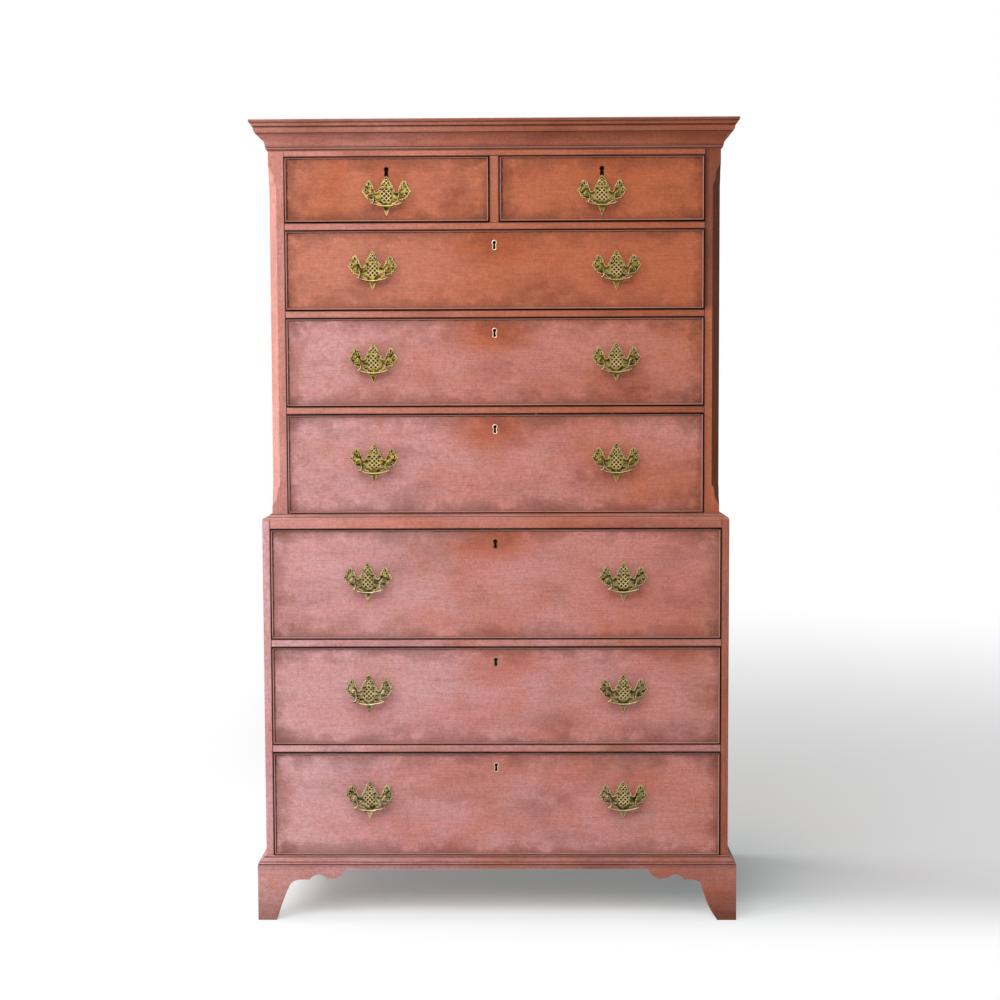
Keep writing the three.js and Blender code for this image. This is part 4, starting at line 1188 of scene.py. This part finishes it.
def bracket(name, rows, corner, along, inward, grain, foot_node):
    """One board of a foot: mitred at the corner, scalloped under the case and eased along its edge."""
    points = outline(in_mm(rows))
    ease = BRACKET_EASE
    rings = []
    for depth, outset_by in ((0, -ease), (ease, 0), (BRACKET_THICKNESS, 0)):
        moved = outset(points, outset_by) if outset_by else points
        ring = []
        for edge, point in zip(points, moved):
            x = edge.x if edge.x <= 0 else point.x
            ring.append(corner + along * max(x, depth) + inward * depth + UP * max(point.y, 0))
        rings.append(ring)
    shape = Shape(grain).skin(rings, wear_and_highlight=[0.5] * len(points))
    for face in shape.mesh.faces:
        depths = [(loop.vert.co - corner).dot(inward) for loop in face.loops]
        if min(depths) > ease * 0.9 and max(depths) - min(depths) > ease:
            for loop in face.loops:
                shape.mark(loop, 0.8, 0.0)
    piece(shape.done(name), name, BASE_WASH, "chest", foot_node)


def foot(node_name, sign, at_front):
    low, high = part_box(node_name)
    corner = Vector((high.x if sign > 0 else low.x, low.y if at_front else high.y, 0))
    across = Vector((-sign, 0, 0))
    depth = Vector((0, 1 if at_front else -1, 0))
    front_rows = FULL_BRACKET_OUTLINE if sign > 0 else BRACKET_OUTLINE
    rows = front_rows if at_front else REAR_BRACE_OUTLINE
    end = "_front_bracket" if at_front else "_rear_brace"
    bracket(node_name + end, rows, corner, across, depth, "x", node_name)
    bracket(node_name + "_side_bracket", BRACKET_OUTLINE, corner, depth, across, "y", node_name)
    start = corner + (across + depth) * (BRACKET_THICKNESS + SEAM) + UP * BLOCK_RISE
    end = start + (across + depth) * BLOCK_WIDTH
    end.z = high.z
    lowest, highest = Vector(map(min, start, end)), Vector(map(max, start, end))
    block = Shape("z").board(lowest, highest, rounding=1.5 * MM)
    piece(block.done("block"), node_name + "_glue_block", RAW_PINE, "chest", node_name)


# Drawers

COCKBEAD_WIDTH = 3.2 * MM
COCKBEAD_PROUD = 2 * MM
COCKBEAD_DEPTH = 10.5 * MM
COCKBEAD_STEPS = 8
COCKBEAD_MITRE = 0.05 * MM
KEYHOLE_DROP = 33 * MM
KEYHOLE_LENGTH = 19 * MM
KEYHOLE_HEAD = 4 * MM
KEYHOLE_HEAD_STEPS = 20
KEYHOLE_WAIST = 4.2 * MM
KEYHOLE_FOOT = 6.4 * MM
KEYHOLE_FOOT_BULGE = 1.2 * MM
ESCUTCHEON_RIM = 1.8 * MM
ESCUTCHEON_DEPTH = 3 * MM
ESCUTCHEON_PROUD = 0.1 * MM
ESCUTCHEON_CROWN = 0.5 * MM

# Across a cockbead from its outer flank to its inner one, on the left, top, right and bottom strips: its
# dirt, with painted shade where turned from the light, and the wear of its nose, with painted highlights on
# the flanks that face the light
BEAD_SHADE_AND_DIRT = [
    [1, 1, 0.8, 0.2, 0, 0, 0, 0, 0.2, 1, 1],
    [1, 1, 1, 0.9, 0.6, 0.3, 0, 0, 0.1, 1, 1],
    [1, 1, 0.9, 0.5, 0.1, 0, 0, 0, 0, 0, 0.2],
    [1, 1, 0.8, 0.4, 0.1, 0, 0, 0, 0, 0, 0.4],
]
BEAD_HIGHLIGHT_AND_WEAR = [
    [0, 0, 0, 0.3, 0.7, 0.8, 0.8, 0.7, 0.4, 0, 0],
    [0, 0, 0, 0, 0.2, 0.4, 0.6, 0.6, 0.4, 0, 0],
    [0, 0, 0, 0.2, 0.5, 0.8, 1, 1, 1, 1, 0.8],
    [0, 0, 0, 0.2, 0.5, 0.8, 1, 1, 1, 0.9, 0.4],
]


def keyhole_outline():
    """Anticlockwise, with its middle at the origin: a round head over a leg that widens downwards."""
    head_turn = math.asin(KEYHOLE_WAIST / 2 / KEYHOLE_HEAD)
    rise = KEYHOLE_LENGTH / 2 - KEYHOLE_HEAD
    points = []
    for i in range(KEYHOLE_HEAD_STEPS + 1):
        sweep = (2 * math.pi - 2 * head_turn) * i / KEYHOLE_HEAD_STEPS
        angle = -math.pi / 2 + head_turn + sweep
        points.append(Vector((KEYHOLE_HEAD * math.cos(angle), rise + KEYHOLE_HEAD * math.sin(angle))))
    half = KEYHOLE_FOOT / 2
    corner_height = -KEYHOLE_LENGTH / 2 + KEYHOLE_FOOT_BULGE
    return points + outline([(-half, corner_height), (half, corner_height, KEYHOLE_FOOT_BULGE)], 6)


def keyhole_cut(core, keyhole, front, back):
    """A drawer front's core with its keyhole cut through."""
    rings = []
    for y in (front - 2 * MM, back + 2 * MM):
        rings.append([keyhole + Vector((p.x, y - keyhole.y, p.y)) for p in keyhole_outline()])
    cutter = added("keyhole_cutter", Shape().skin(rings).done("cutter"))

    def cut(obj):
        modifier = obj.modifiers.new("keyhole", "BOOLEAN")
        modifier.object = cutter
        modifier.operation = "DIFFERENCE"
        modifier.solver = "EXACT"

    result = evaluated(core, cut)
    bpy.data.objects.remove(cutter)
    return result


def cockbead(front, low, high, field):
    """Adds the four mitred strips round a drawer front: at the left, the top, the right and the foot."""
    middle = (low.x + high.x) / 2
    half = (high.x - low.x) / 2
    radius = COCKBEAD_WIDTH / 2
    section = [Vector((0, COCKBEAD_DEPTH))]
    for i in range(COCKBEAD_STEPS + 1):
        angle = math.pi * i / COCKBEAD_STEPS
        nose = -COCKBEAD_PROUD + radius - radius * math.sin(angle)
        section.append(Vector((radius - radius * math.cos(angle), nose)))
    section.append(Vector((COCKBEAD_WIDTH, COCKBEAD_DEPTH)))
    corners = ((-1, -1), (-1, 1), (1, 1), (1, -1))
    for number, (start, end) in enumerate(zip(corners, corners[1:] + corners[:1])):
        rings = []
        for (sideways, upward), other in ((start, end), (end, start)):
            back_x = COCKBEAD_MITRE * (other[0] - sideways) / 2
            back_z = COCKBEAD_MITRE * (other[1] - upward) / 2
            edge = high.z if upward > 0 else low.z
            ring = []
            for p in section:
                x = middle + sideways * (half - p.x) + back_x
                ring.append((x, field + p.y, edge - upward * p.x + back_z))
            rings.append(ring)
        front.grain = "z" if number % 2 == 0 else "x"
        front.skin(rings, dirt_and_shade_marks=BEAD_SHADE_AND_DIRT[number], wear_and_highlight=BEAD_HIGHLIGHT_AND_WEAR[number])


def drawer_front(name, low, high, keyhole, finish):
    """The front board, rebated for the cockbead round it, with its keyhole."""
    field, back = low.y + COCKBEAD_PROUD, high.y
    step = field + COCKBEAD_DEPTH
    rings = []
    for inset, y in ((COCKBEAD_WIDTH + SEAM, field), (COCKBEAD_WIDTH + SEAM, step), (0, step), (0, back)):
        left, right = low.x + inset, high.x - inset
        foot, top = low.z + inset, high.z - inset
        corners = ((left, foot), (right, foot), (right, top), (left, top))
        rings.append([(x, y, z) for x, z in corners])
    core = Shape("x").skin(rings).done("core")
    front = Shape("x").add(keyhole_cut(core, keyhole, field, back))
    for vertex in front.mesh.verts:
        vertex[front.grain_layer] = GRAINS["x"]
    # Painted shade: the keyhole's walls are made near black
    for face in front.mesh.faces:
        if all((vertex.co - keyhole).xz.length < KEYHOLE_LENGTH for vertex in face.verts):
            for loop in face.loops:
                loop[front.dirt_and_shade_layer] = 1.0
    cockbead(front, low, high, field)
    piece(front.done(name), name + "_board", finish, name, name + "_front")


def escutcheon(name, keyhole, field, finish):
    """A thin brass lining let in round the keyhole."""
    inner = keyhole_outline()
    outer = outset(inner, ESCUTCHEON_RIM)
    rings = []
    for a, b in zip(inner, outer):
        section = [
            (a, ESCUTCHEON_DEPTH), (a, -ESCUTCHEON_PROUD), (a.lerp(b, 0.5), -ESCUTCHEON_CROWN),
            (b, -ESCUTCHEON_PROUD), (b, ESCUTCHEON_DEPTH),
        ]
        rings.append([(keyhole.x + p.x, field + y, keyhole.z + p.y) for p, y in section])
    shape = Shape("x").skin(rings, closed=True, wear_and_highlight=[0, 0, 1, 0, 0])
    piece(shape.done(name), name + "_escutcheon", finish, name)


SIDE_THICKNESS = 10 * MM
BACK_DROP = 12 * MM
BOTTOM_RISE = 6.7 * MM
BOTTOM_THICKNESS = 8 * MM
BOTTOM_BOARDS = 3
BOTTOM_GAP = 0.6 * MM
BOX_ARRIS = 1.2 * MM

# How much of a side's height stays free of joints, how far apart its tails are, and how far they stay
# from its front end
JOINT_ROOM = 20 * MM
TAIL_PITCH = 44 * MM
TAIL_FROM_FRONT = 0.5 * MM

# Tails at the front and pins at the back: the grain, the outline in millimetres along the side and up,
# the two depths that it reaches between, how many millimetres up the lowest one starts, and the pitch
TAILS = ("y", [(0, 0), (14, -3), (14, 29), (0, 26)], (0, 2.5 * MM), 14, TAIL_PITCH)
PINS = ("x", [(0, 0), (10, -2.5), (10, 16.5), (0, 14)], (-0.15 * MM, 2 * MM), 30, TAIL_PITCH * 0.9)


def dovetails(sides, kind, count, corner, sign, way):
    """Adds a column of tails or pins to the outer face of a side. Sign says which side it is, and way
    whether the joints run to the back or the front from that corner of its foot."""
    grain, rows, depths, rise, pitch = kind
    rings = []
    for depth in depths:
        x = corner[0] - sign * depth
        rings.append([(x, corner[1] + way * a * MM, corner[2] + (rise + b) * MM) for a, b in rows])
    joint = Shape(grain).skin(rings).done("joint")
    sides.add(row(joint, count, (0, 0, pitch), RAW_PINE))


def drawer_box(name):
    """Dovetailed sides and back round a bottom of three boards."""
    low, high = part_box(name + "_box")
    inner_low, inner_high = low.x + SIDE_THICKNESS, high.x - SIDE_THICKNESS
    back_face = high.y - SIDE_THICKNESS
    bottom_low = low.z + BOTTOM_RISE
    count = max(2, int((high.z - low.z - JOINT_ROOM) / TAIL_PITCH))
    sides = Shape("y")
    for outer, inner, sign in ((low.x, inner_low, -1), (high.x, inner_high, 1)):
        start = (min(outer, inner), low.y, low.z)
        sides.board(start, (max(outer, inner), high.y, high.z), rounding=BOX_ARRIS)
        dovetails(sides, TAILS, count, (outer, low.y + TAIL_FROM_FRONT, low.z), sign, -1)
        dovetails(sides, PINS, count, (outer, back_face, low.z), sign, 1)
    back_high = (inner_high, high.y, high.z - BACK_DROP)
    sides.board((inner_low, back_face, bottom_low), back_high, rounding=BOX_ARRIS, grain="x")
    piece(sides.done(name), name + "_sides_and_back", RAW_PINE, name, name + "_box")
    depth = (back_face - low.y) / BOTTOM_BOARDS
    end = (inner_high, low.y + depth - BOTTOM_GAP, bottom_low + BOTTOM_THICKNESS)
    board = Shape("x").board((inner_low, low.y, bottom_low), end, rounding=1.0 * MM)
    bottom = row(board.done("bottom"), BOTTOM_BOARDS, (0, depth, 0), RAW_PINE)
    piece(bottom, name + "_bottom", RAW_PINE, name, name + "_box")


LOCK_HALF_WIDTH = 31 * MM
LOCK_HEIGHT = 52 * MM
LOCK_DEPTH = 4 * MM
LOCK_DROP = 1.5 * MM
LOCK_PLATE_REACH = 9 * MM
LOCK_PLATE_THICKNESS = 1 * MM
LOCK_PLATE_PROUD = 0.3 * MM
BOLT_HALF_WIDTH = 11 * MM
BOLT_DEPTHS = (4.5 * MM, 0.5 * MM)
BOLT_LENGTH = 4 * MM
BOLT_PROUD = 0.7 * MM
SCREW_INSET = 7 * MM
SCREW_RISE = 8 * MM
SCREW_STEP = 35 * MM
SCREW_HEAD = [(2.6, 0, 0), (2.6, 0.3, 1), (1.8, 0.9, 1), (0.1, 1.0, 0)]


def lock(name, keyhole, high):
    """The lock screwed behind the keyhole, with its plate let into the top edge and its bolt drawn in."""
    left, right, top = keyhole.x - LOCK_HALF_WIDTH, keyhole.x + LOCK_HALF_WIDTH, high.z
    back = high.y + LOCK_DEPTH
    case_low = Vector((left, high.y, top - LOCK_HEIGHT))
    shape = Shape("x").board(case_low, (right, back, top - LOCK_DROP))
    shape.mesh.normal_update()
    # Painted shade on the case's front face, which shows through the keyhole
    for face in shape.mesh.faces:
        for loop in face.loops:
            loop[shape.dirt_and_shade_layer] = 1.0 if face.normal.y < -0.9 else 0.0
    screw_place = case_low + Vector((SCREW_INSET, LOCK_DEPTH, SCREW_RISE))
    screw = Shape("x").turning(SCREW_HEAD, screw_place, sides=14).done("screw")
    pair = row(screw, 2, (2 * (LOCK_HALF_WIDTH - SCREW_INSET), 0, 0), LOCK_BRASS)
    shape.add(row(pair, 2, (0, 0, SCREW_STEP), LOCK_BRASS))
    plate_low = (left, high.y - LOCK_PLATE_REACH, top - LOCK_PLATE_THICKNESS)
    shape.board(plate_low, (right, back, top + LOCK_PLATE_PROUD), rounding=0.15 * MM)
    bolt_low = (keyhole.x - BOLT_HALF_WIDTH, high.y - BOLT_DEPTHS[0], top - BOLT_LENGTH)
    bolt_high = (keyhole.x + BOLT_HALF_WIDTH, high.y - BOLT_DEPTHS[1], top + BOLT_PROUD)
    shape.board(bolt_low, bolt_high, rounding=0.2 * MM)
    piece(shape.done(name), name + "_lock", LOCK_BRASS, name)


# Handles. A handle's own frame has its origin midway between the posts, on the pivot axis, and its
# outlines and lines are in millimetres.

PLATE_RISE = 41.5 * MM
PLATE_THICKNESS = 1.6 * MM
PLATE_EASE = 0.3 * MM
PLATE_RIM = 1.3 * MM
PLATE_HOLLOW = 0.35 * MM
PLATE_TAIL = -27 * MM
POST_STANDOFF = 9 * MM
POST_SPREAD = 70 * MM
PLATE_HALF_OUTLINE = [
    (0, 41.5), (2.6, 37.4), (5.4, 36.2), (5.2, 33), (8.6, 30.8), (8.2, 27.4), (12, 25.4), (11.2, 22),
    (15.6, 18.8), (14, 14.8), (19.2, 11), (17.8, 7.4), (21.5, 4.2), (24.6, 3.7), (26.8, 7.2), (27.6, 11.8),
    (30, 13.2), (29, 17.8), (32.2, 20), (31.6, 24), (35.4, 26.4), (35.8, 29.8), (39.6, 32), (41.9, 29.4),
    (44.7, 29.8), (45.2, 25.8), (47.8, 23.8), (46, 20.6), (49, 18.6), (49.8, 15.2), (52.6, 14),
    (52.6, 10.4), (56, 8.4), (55.2, 4.2), (51.8, 3.4), (51.6, -0.6), (48.4, -2.2), (48.8, -6), (44.6, -7.4),
    (43.6, -11.4), (38.6, -11), (35.4, -14), (30.6, -12.8), (27, -17.4), (23.2, -17.2), (19.4, -21.8),
    (15.4, -21.8), (12, -26.4), (8.8, -27), (7.4, -31), (5.4, -36.4), (3.4, -41.6), (0, -49.5),
]

# Oval piercings in the right half of the plate: middle, width and height
PLATE_DROPS = [
    (40, 23, 4.4, 9), (47, 9.6, 4.2, 7.6), (34, 16, 3.2, 6.4), (9, 15.4, 3.2, 3.4), (14.8, 6.6, 3, 3.4),
    (20.6, -11.6, 8, 3.2), (41, -3.2, 4.8, 3.4),
]

# Diamond piercings: the lattice and the four above it, as middles with the size across the corners
LATTICE_HOLE = 7
LATTICE = [
    (0, 11.4), (-5, 6.3), (5, 6.3), (-10, 1.2), (0, 1.2), (10, 1.2), (-5, -3.9), (5, -3.9),
    (-10, -9), (0, -9), (10, -9), (-5, -14.1), (5, -14.1),
]
TOP_HOLE = 6.2
TOP_DIAMONDS = [(0, 29.5), (-4.8, 24.7), (4.8, 24.7), (0, 19.9)]

# Turned profiles, as Shape.turning takes them
POST_PROFILE = [
    (0.1, 10.6, 0), (5.6, 10.6, -0.6), (5.6, 8.8, -0.3), (5, 8.2, 0.2), (3.8, 7.8, -0.6), (3, 6.6, -0.7),
    (2.6, 5.2, -0.7), (2.9, 4.4, -0.5), (3.9, 3.6, 0), (4.2, 2.6, 0), (4.3, 0.4, -0.3), (4.3, -0.8, -0.3),
    (3.9, -2.1, -0.4), (2.9, -2.9, -0.5), (1.6, -3.4, -0.5), (0.1, -3.5, -0.5),
]
BAIL_HORN = [
    (0.1, -2.5, 1), (1.4, -2.1, 1), (2.2, -1.1, 1), (2.4, 0, 1), (2.2, 1.1, 1), (1.4, 2.1, 1), (0.1, 2.5, 1),
]
NUT_STUD = [(2, 0, 0), (2, 5.4, 0), (1.6, 5.9, 1), (0.1, 6, 1)]

# Half of the bail's centre line, from the pin's end down to the middle of the bow: across, set back,
# rise and girth. The bar is thin in the arms and swells in the bow.
BAIL_HALF_LINE = [
    (34.6, 0, 0, 1.5), (32.4, 0, 0, 1.5), (30.2, 0, -0.5, 1.6), (29.3, 0, -2.2, 1.7), (29, 0.1, -5, 1.6),
    (28.2, 0.3, -8.8, 1.7), (27.6, 0.4, -12.6, 1.8), (28, 0.6, -15.8, 2), (30.2, 0.8, -18.8, 2.2),
    (31.6, 0.9, -21, 2.3), (29.6, 0.9, -22.8, 1.9), (25, 1, -23.9, 1.8), (19, 1, -25.3, 2.1),
    (10, 1, -27.2, 2.6), (0, 1, -27.9, 2.8),
]
HORN_PLACE = Vector((34 * MM, 0.9 * MM, -21 * MM))
# The way toward the lamps, where the bail gets its painted highlight and some wear
LIGHT_AND_WEAR_WAY = Vector((-0.5, -0.4, 0.77))
NUT_SIZE = 9 * MM
NUT_THICKNESS = 3 * MM


def plate_piercings():
    """The diamond lattice, the four diamonds over it, and the drops in the wings."""
    holes = []
    for places, size in ((LATTICE, LATTICE_HOLE), (TOP_DIAMONDS, TOP_HOLE)):
        half = size / 2
        for x, z in places:
            holes.append([(x + half, z), (x, z + half), (x - half, z), (x, z - half)])
    angles = [2 * math.pi * i / 10 for i in range(10)]
    for _, sign in HANDS:
        for x, z, width, height in PLATE_DROPS:
            holes.append([(sign * x + width / 2 * math.cos(a), z + height / 2 * math.sin(a)) for a in angles])
    return holes


def handle_plate_mesh():
    """The pierced plate with its two posts."""
    sides = PLATE_HALF_OUTLINE[1:-1]
    left = [(-x, z) for x, z in sides]
    outer = [PLATE_HALF_OUTLINE[0], *left, PLATE_HALF_OUTLINE[-1], *sides[::-1]]
    loops = [outline(in_mm(loop)) for loop in (outer, *plate_piercings())]
    shape = Shape("x").sheet(
        loops, POST_STANDOFF, PLATE_THICKNESS, PLATE_EASE, PLATE_RIM, PLATE_HOLLOW, PLATE_TAIL
    )
    for _, sign in HANDS:
        shape.turning(POST_PROFILE, Vector((sign * POST_SPREAD / 2, 0, 0)))
    return shape.done("handle_plate", 30)


def smooth_line(rows, steps):
    """A smooth line through rows of numbers, by Catmull and Rom's rule."""
    padded = [rows[0], *rows, rows[-1]]
    line = []
    for a, b, c, d in zip(padded, padded[1:], padded[2:], padded[3:]):
        for i in range(steps):
            t = i / steps
            point = []
            for p, q, r, s in zip(a, b, c, d):
                cubic = (3 * q - p - 3 * r + s) * t ** 3
                square = (2 * p - 5 * q + 4 * r - s) * t * t
                point.append((cubic + square + (r - p) * t + 2 * q) / 2)
            line.append(point)
    line.append(list(rows[-1]))
    return line


def bail_mesh():
    """A bow that hangs from two pins, with a small ball at each of its corners."""
    left = [(-x, y, z, girth) for x, y, z, girth in BAIL_HALF_LINE]
    line = smooth_line(left + BAIL_HALF_LINE[-2::-1], 4)
    mesh = bpy.data.meshes.new("bail_line")
    mesh.from_pydata([Vector(p[:3]) * MM for p in line], [(i, i + 1) for i in range(len(line) - 1)], [])
    girth = mesh.attributes.new("girth", "FLOAT", "POINT")
    girth.data.foreach_set("value", [p[3] * MM for p in line])
    shape = Shape("x").add(grown(mesh, BAR_TREE, {"Sides": 14, "Finish": BAIL_BRASS}))
    for _, sign in HANDS:
        place = Vector((sign * HORN_PLACE.x, HORN_PLACE.y, HORN_PLACE.z))
        shape.turning(BAIL_HORN, place, sides=16)
    # Painted highlight, with some wear, on faces turned up, left and forward toward the lamps, and painted
    # shade on those turned away
    shape.mesh.normal_update()
    for face in shape.mesh.faces:
        for loop in face.loops:
            brightened = loop.vert.normal.dot(LIGHT_AND_WEAR_WAY)
            shape.mark(loop, 0.8 * max(0.0, -brightened), max(0.0, brightened) ** 1.5)
    return shape.done("bail", 60)


def nut_mesh():
    """A square nut on the end of a post's stud."""
    half = NUT_SIZE / 2
    shape = Shape("x").board((-half, 0, -half), (half, NUT_THICKNESS, half))
    return shape.turning(NUT_STUD, Vector(), sides=14).done("nut")


PLATE_MESH = handle_plate_mesh()
BAIL_MESH = bail_mesh()
NUT_MESH = nut_mesh()


def moved_copy(mesh, place):
    copy = mesh.copy()
    copy.transform(Matrix.Translation(place))
    return copy


def handle(drawer_name, suffix):
    """Puts a plate and its bail where the CAD has them, and returns the pivot's place."""
    low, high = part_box(drawer_name + "_plate" + suffix)
    pivot = Vector(((low.x + high.x) / 2, high.y - PLATE_THICKNESS - POST_STANDOFF, high.z - PLATE_RISE))
    plate_name = drawer_name + "_plate" + suffix
    bail_name = drawer_name + "_bail" + suffix
    piece(moved_copy(PLATE_MESH, pivot), plate_name + "_brass", PLATE_BRASS, drawer_name, plate_name)
    piece(moved_copy(BAIL_MESH, pivot), bail_name + "_brass", BAIL_BRASS, bail_name, bail_name)
    return pivot


def drawer(name, pale, rose, halo, cloud, cloud_place, foot_shade_and_dirt, seed, black_rim):
    low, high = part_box(name + "_front")
    field = low.y + COCKBEAD_PROUD
    centre = (low + high) / 2
    keyhole = Vector((centre.x, field, high.z - KEYHOLE_DROP))
    short = name.startswith("short")
    pivots = [handle(name, suffix) for suffix in ([""] if short else ["_left", "_right"])]
    spread = abs(pivots[-1].x - centre.x)
    cloud_x, cloud_z = cloud_place
    marks = {
        "Centre": centre,
        "Cloud Place": (cloud_x * MM, 0, cloud_z * MM),
        "Half Width": (high.x - low.x) / 2,
        "Half Height": (high.z - low.z) / 2,
        "Handle Spread": spread,
        "Handle Rise": pivots[0].z - centre.z,
        "Keyhole Rise": keyhole.z - centre.z,
        "Bead Width": COCKBEAD_WIDTH,
        "Foot Dirt": foot_shade_and_dirt * MM,
    }
    finish = washed_wood(name + "_wash", rose, seed, pale=pale, marks=marks, halo=halo, cloud=cloud)
    drawer_front(name, low, high, keyhole, finish)
    escutcheon(name, keyhole, field, BLACKENED_BRASS if black_rim else ESCUTCHEON_BRASS)
    drawer_box(name)
    lock(name, keyhole, high)
    nut = moved_copy(NUT_MESH, Vector((pivots[0].x - POST_SPREAD / 2, high.y, pivots[0].z)))
    nuts = row(nut, 2, (POST_SPREAD, 0, 0), LOCK_BRASS)
    if not short:
        nuts = row(nuts, 2, (2 * spread, 0, 0), LOCK_BRASS)
    piece(nuts, name + "_handle_nuts", LOCK_BRASS, name)


# Stage: a white floor that keeps the shadow, a white surround, lamps and the camera

FLOOR_HALF_WIDTH = 30
FLOOR_GREY = (0.86, 0.86, 0.86, 1)
FLOOR_LIFT = 0.19
FLOOR_TINT = (0.72, 1, 1, 1)

# In metres from the middle of the chest's foot: where the floor's tint fades, and where the floor
# turns plain white all round, to the left and to the front
TINT_FADE = (0.4, 1.1)
WHITE_ROUND = (0.9, 5.5)
WHITE_SIDES = (("X", -0.55, -1.1), ("Y", -0.03, -0.5))


def seen_share(tree):
    """1 for what is seen directly, through glass or in metal, and 0 for what lights the chest."""
    rays = node(tree, "ShaderNodeLightPath").outputs
    seen = maths(tree, "MAXIMUM", rays["Is Camera Ray"], rays["Is Transmission Ray"])
    return maths(tree, "MAXIMUM", seen, rays["Is Glossy Ray"])


def white_floor():
    """Paper that keeps the chest's shadow near it and is seen plain white farther off."""
    material, tree, position, _ = new_material("floor_paper")
    shader = tree.nodes["Principled BSDF"]
    shader.inputs["Base Color"].default_value = FLOOR_GREY
    shader.inputs["Roughness"].default_value = 0.9
    shader.inputs["Specular IOR Level"].default_value = 0.0
    distance = node(tree, "ShaderNodeVectorMath", {0: position}, operation="LENGTH").outputs["Value"]
    place = axes(tree, position)
    seen = seen_share(tree)
    tint = blend(tree, fade(tree, distance, *TINT_FADE), FLOOR_TINT, WHITE)
    inputs = {"Color": tint, "Strength": maths(tree, "MULTIPLY", seen, FLOOR_LIFT)}
    lift = node(tree, "ShaderNodeEmission", inputs).outputs[0]
    lifted = node(tree, "ShaderNodeAddShader", {0: shader.outputs[0], 1: lift}).outputs[0]
    bright = fade(tree, distance, *WHITE_ROUND)
    for axis, start, end in WHITE_SIDES:
        bright = maths(tree, "MAXIMUM", bright, fade(tree, place[axis], start, end))
    white = node(tree, "ShaderNodeEmission", {"Color": WHITE, "Strength": 1.0}).outputs[0]
    inputs = {0: maths(tree, "MULTIPLY", bright, seen), 1: lifted, 2: white}
    mixed = node(tree, "ShaderNodeMixShader", inputs).outputs[0]
    tree.links.new(mixed, tree.nodes["Material Output"].inputs["Surface"])
    half = FLOOR_HALF_WIDTH
    corners = [(-half, -half, 0), (half, -half, 0), (half, half, 0), (-half, half, 0)]
    mesh = bpy.data.meshes.new("floor")
    mesh.from_pydata(corners, [], [(0, 1, 2, 3)])
    mesh.materials.append(material)
    added("floor", mesh)


def surround():
    """A world that is seen white, and that lights the chest softly from the front and the left."""
    world = bpy.data.worlds.new("surround")
    bpy.context.scene.world = world
    world.use_nodes = True
    tree = world.node_tree
    tree.nodes.clear()
    way = axes(tree, node(tree, "ShaderNodeTexCoord").outputs["Generated"])
    from_left = fade(tree, way["X"], -0.6, 0.7, 0.66, 0.12)
    from_front = fade(tree, way["Y"], -0.2, 0.8, 1.0, 0.5)
    level = maths(tree, "MULTIPLY", from_left, from_front)
    light = node(tree, "ShaderNodeBackground", {"Color": WHITE, "Strength": level}).outputs[0]
    white = node(tree, "ShaderNodeBackground", {"Color": WHITE, "Strength": 1.0}).outputs[0]
    inputs = {0: seen_share(tree), 1: light, 2: white}
    mixed = node(tree, "ShaderNodeMixShader", inputs).outputs[0]
    node(tree, "ShaderNodeOutputWorld", {"Surface": mixed})


# Each lamp's place, the place that it shines at, its width, height and power
LAMPS = {
    "window": ((-2.6, -2.0, 1.9), (0, 0, 0.9), 1.6, 2.2, 42),
    "far_window": ((-2.6, 0.6, 3.0), (-0.4, 0.2, 0), 2.0, 2.0, 55),
    "room_light": ((-0.9, -2.8, 3.8), (0, -0.3, 0.3), 1.8, 1.8, 62),
}


def lamp(name, place, target, width, height, power):
    data = bpy.data.lights.new(name, "AREA")
    data.shape = "RECTANGLE"
    data.size = width
    data.size_y = height
    data.energy = power
    obj = added(name, data)
    obj.location = place
    obj.rotation_euler = (Vector(target) - Vector(place)).to_track_quat("-Z", "Y").to_euler()


def camera():
    """The photograph's viewpoint: right of the middle, at two thirds of the chest's height."""
    place = Vector((0.0617, -4.0, 1.2233))
    focal_length_in_pixels = 1644.1
    picture_width_in_pixels = 1000
    pitch, yaw, roll = (math.radians(angle) for angle in (3.844, 0.777, -0.225))
    way = Vector((-math.sin(yaw) * math.cos(pitch), math.cos(yaw) * math.cos(pitch), -math.sin(pitch)))
    data = bpy.data.cameras.new("camera")
    data.sensor_width = 36
    data.lens = data.sensor_width * focal_length_in_pixels / picture_width_in_pixels
    turn = way.to_track_quat("-Z", "Y").to_matrix() @ Matrix.Rotation(roll, 3, "Z")
    obj = added("camera", data)
    obj.matrix_world = Matrix.Translation(place) @ turn.to_4x4()
    bpy.context.scene.camera = obj


upper_case()
lower_case()
for rail_name in ("rail_under_short_drawers", "rail_under_upper_drawer_1", "rail_under_upper_drawer_2"):
    rail(rail_name, UPPER_RAIL_WASH, True)
for rail_name in ("rail_under_lower_drawer_1", "rail_under_lower_drawer_2"):
    rail(rail_name, LOWER_WASH, False)
back_boards("upper_back_boards", "upper_back_panel", UPPER_PANEL_LOW, UPPER_PANEL_HIGH)
back_boards("lower_back_boards", "lower_back_panel", LOWER_PANEL_LOW, LOWER_PANEL_HIGH)
moulding("cornice", CORNICE_SECTION, UPPER_LOW, UPPER_HIGH, CORNICE_WASH, 4.5 * MM)
moulding("waist_moulding", WAIST_SECTION, UPPER_LOW, UPPER_HIGH, WAIST_WASH, 2.2 * MM)
moulding("base_moulding", BASE_SECTION, LOWER_LOW, LOWER_HIGH, BASE_WASH, 2.5 * MM)
for foot_side, foot_sign in HANDS:
    foot("foot_front_" + foot_side, foot_sign, True)
    foot("foot_back_" + foot_side, foot_sign, False)
for drawer_name, drawer_facts in DRAWERS.items():
    drawer(drawer_name, *drawer_facts)

white_floor()
surround()
for lamp_name, lamp_facts in LAMPS.items():
    lamp(lamp_name, *lamp_facts)
camera()

bpy.context.scene.view_settings.view_transform = "Standard"
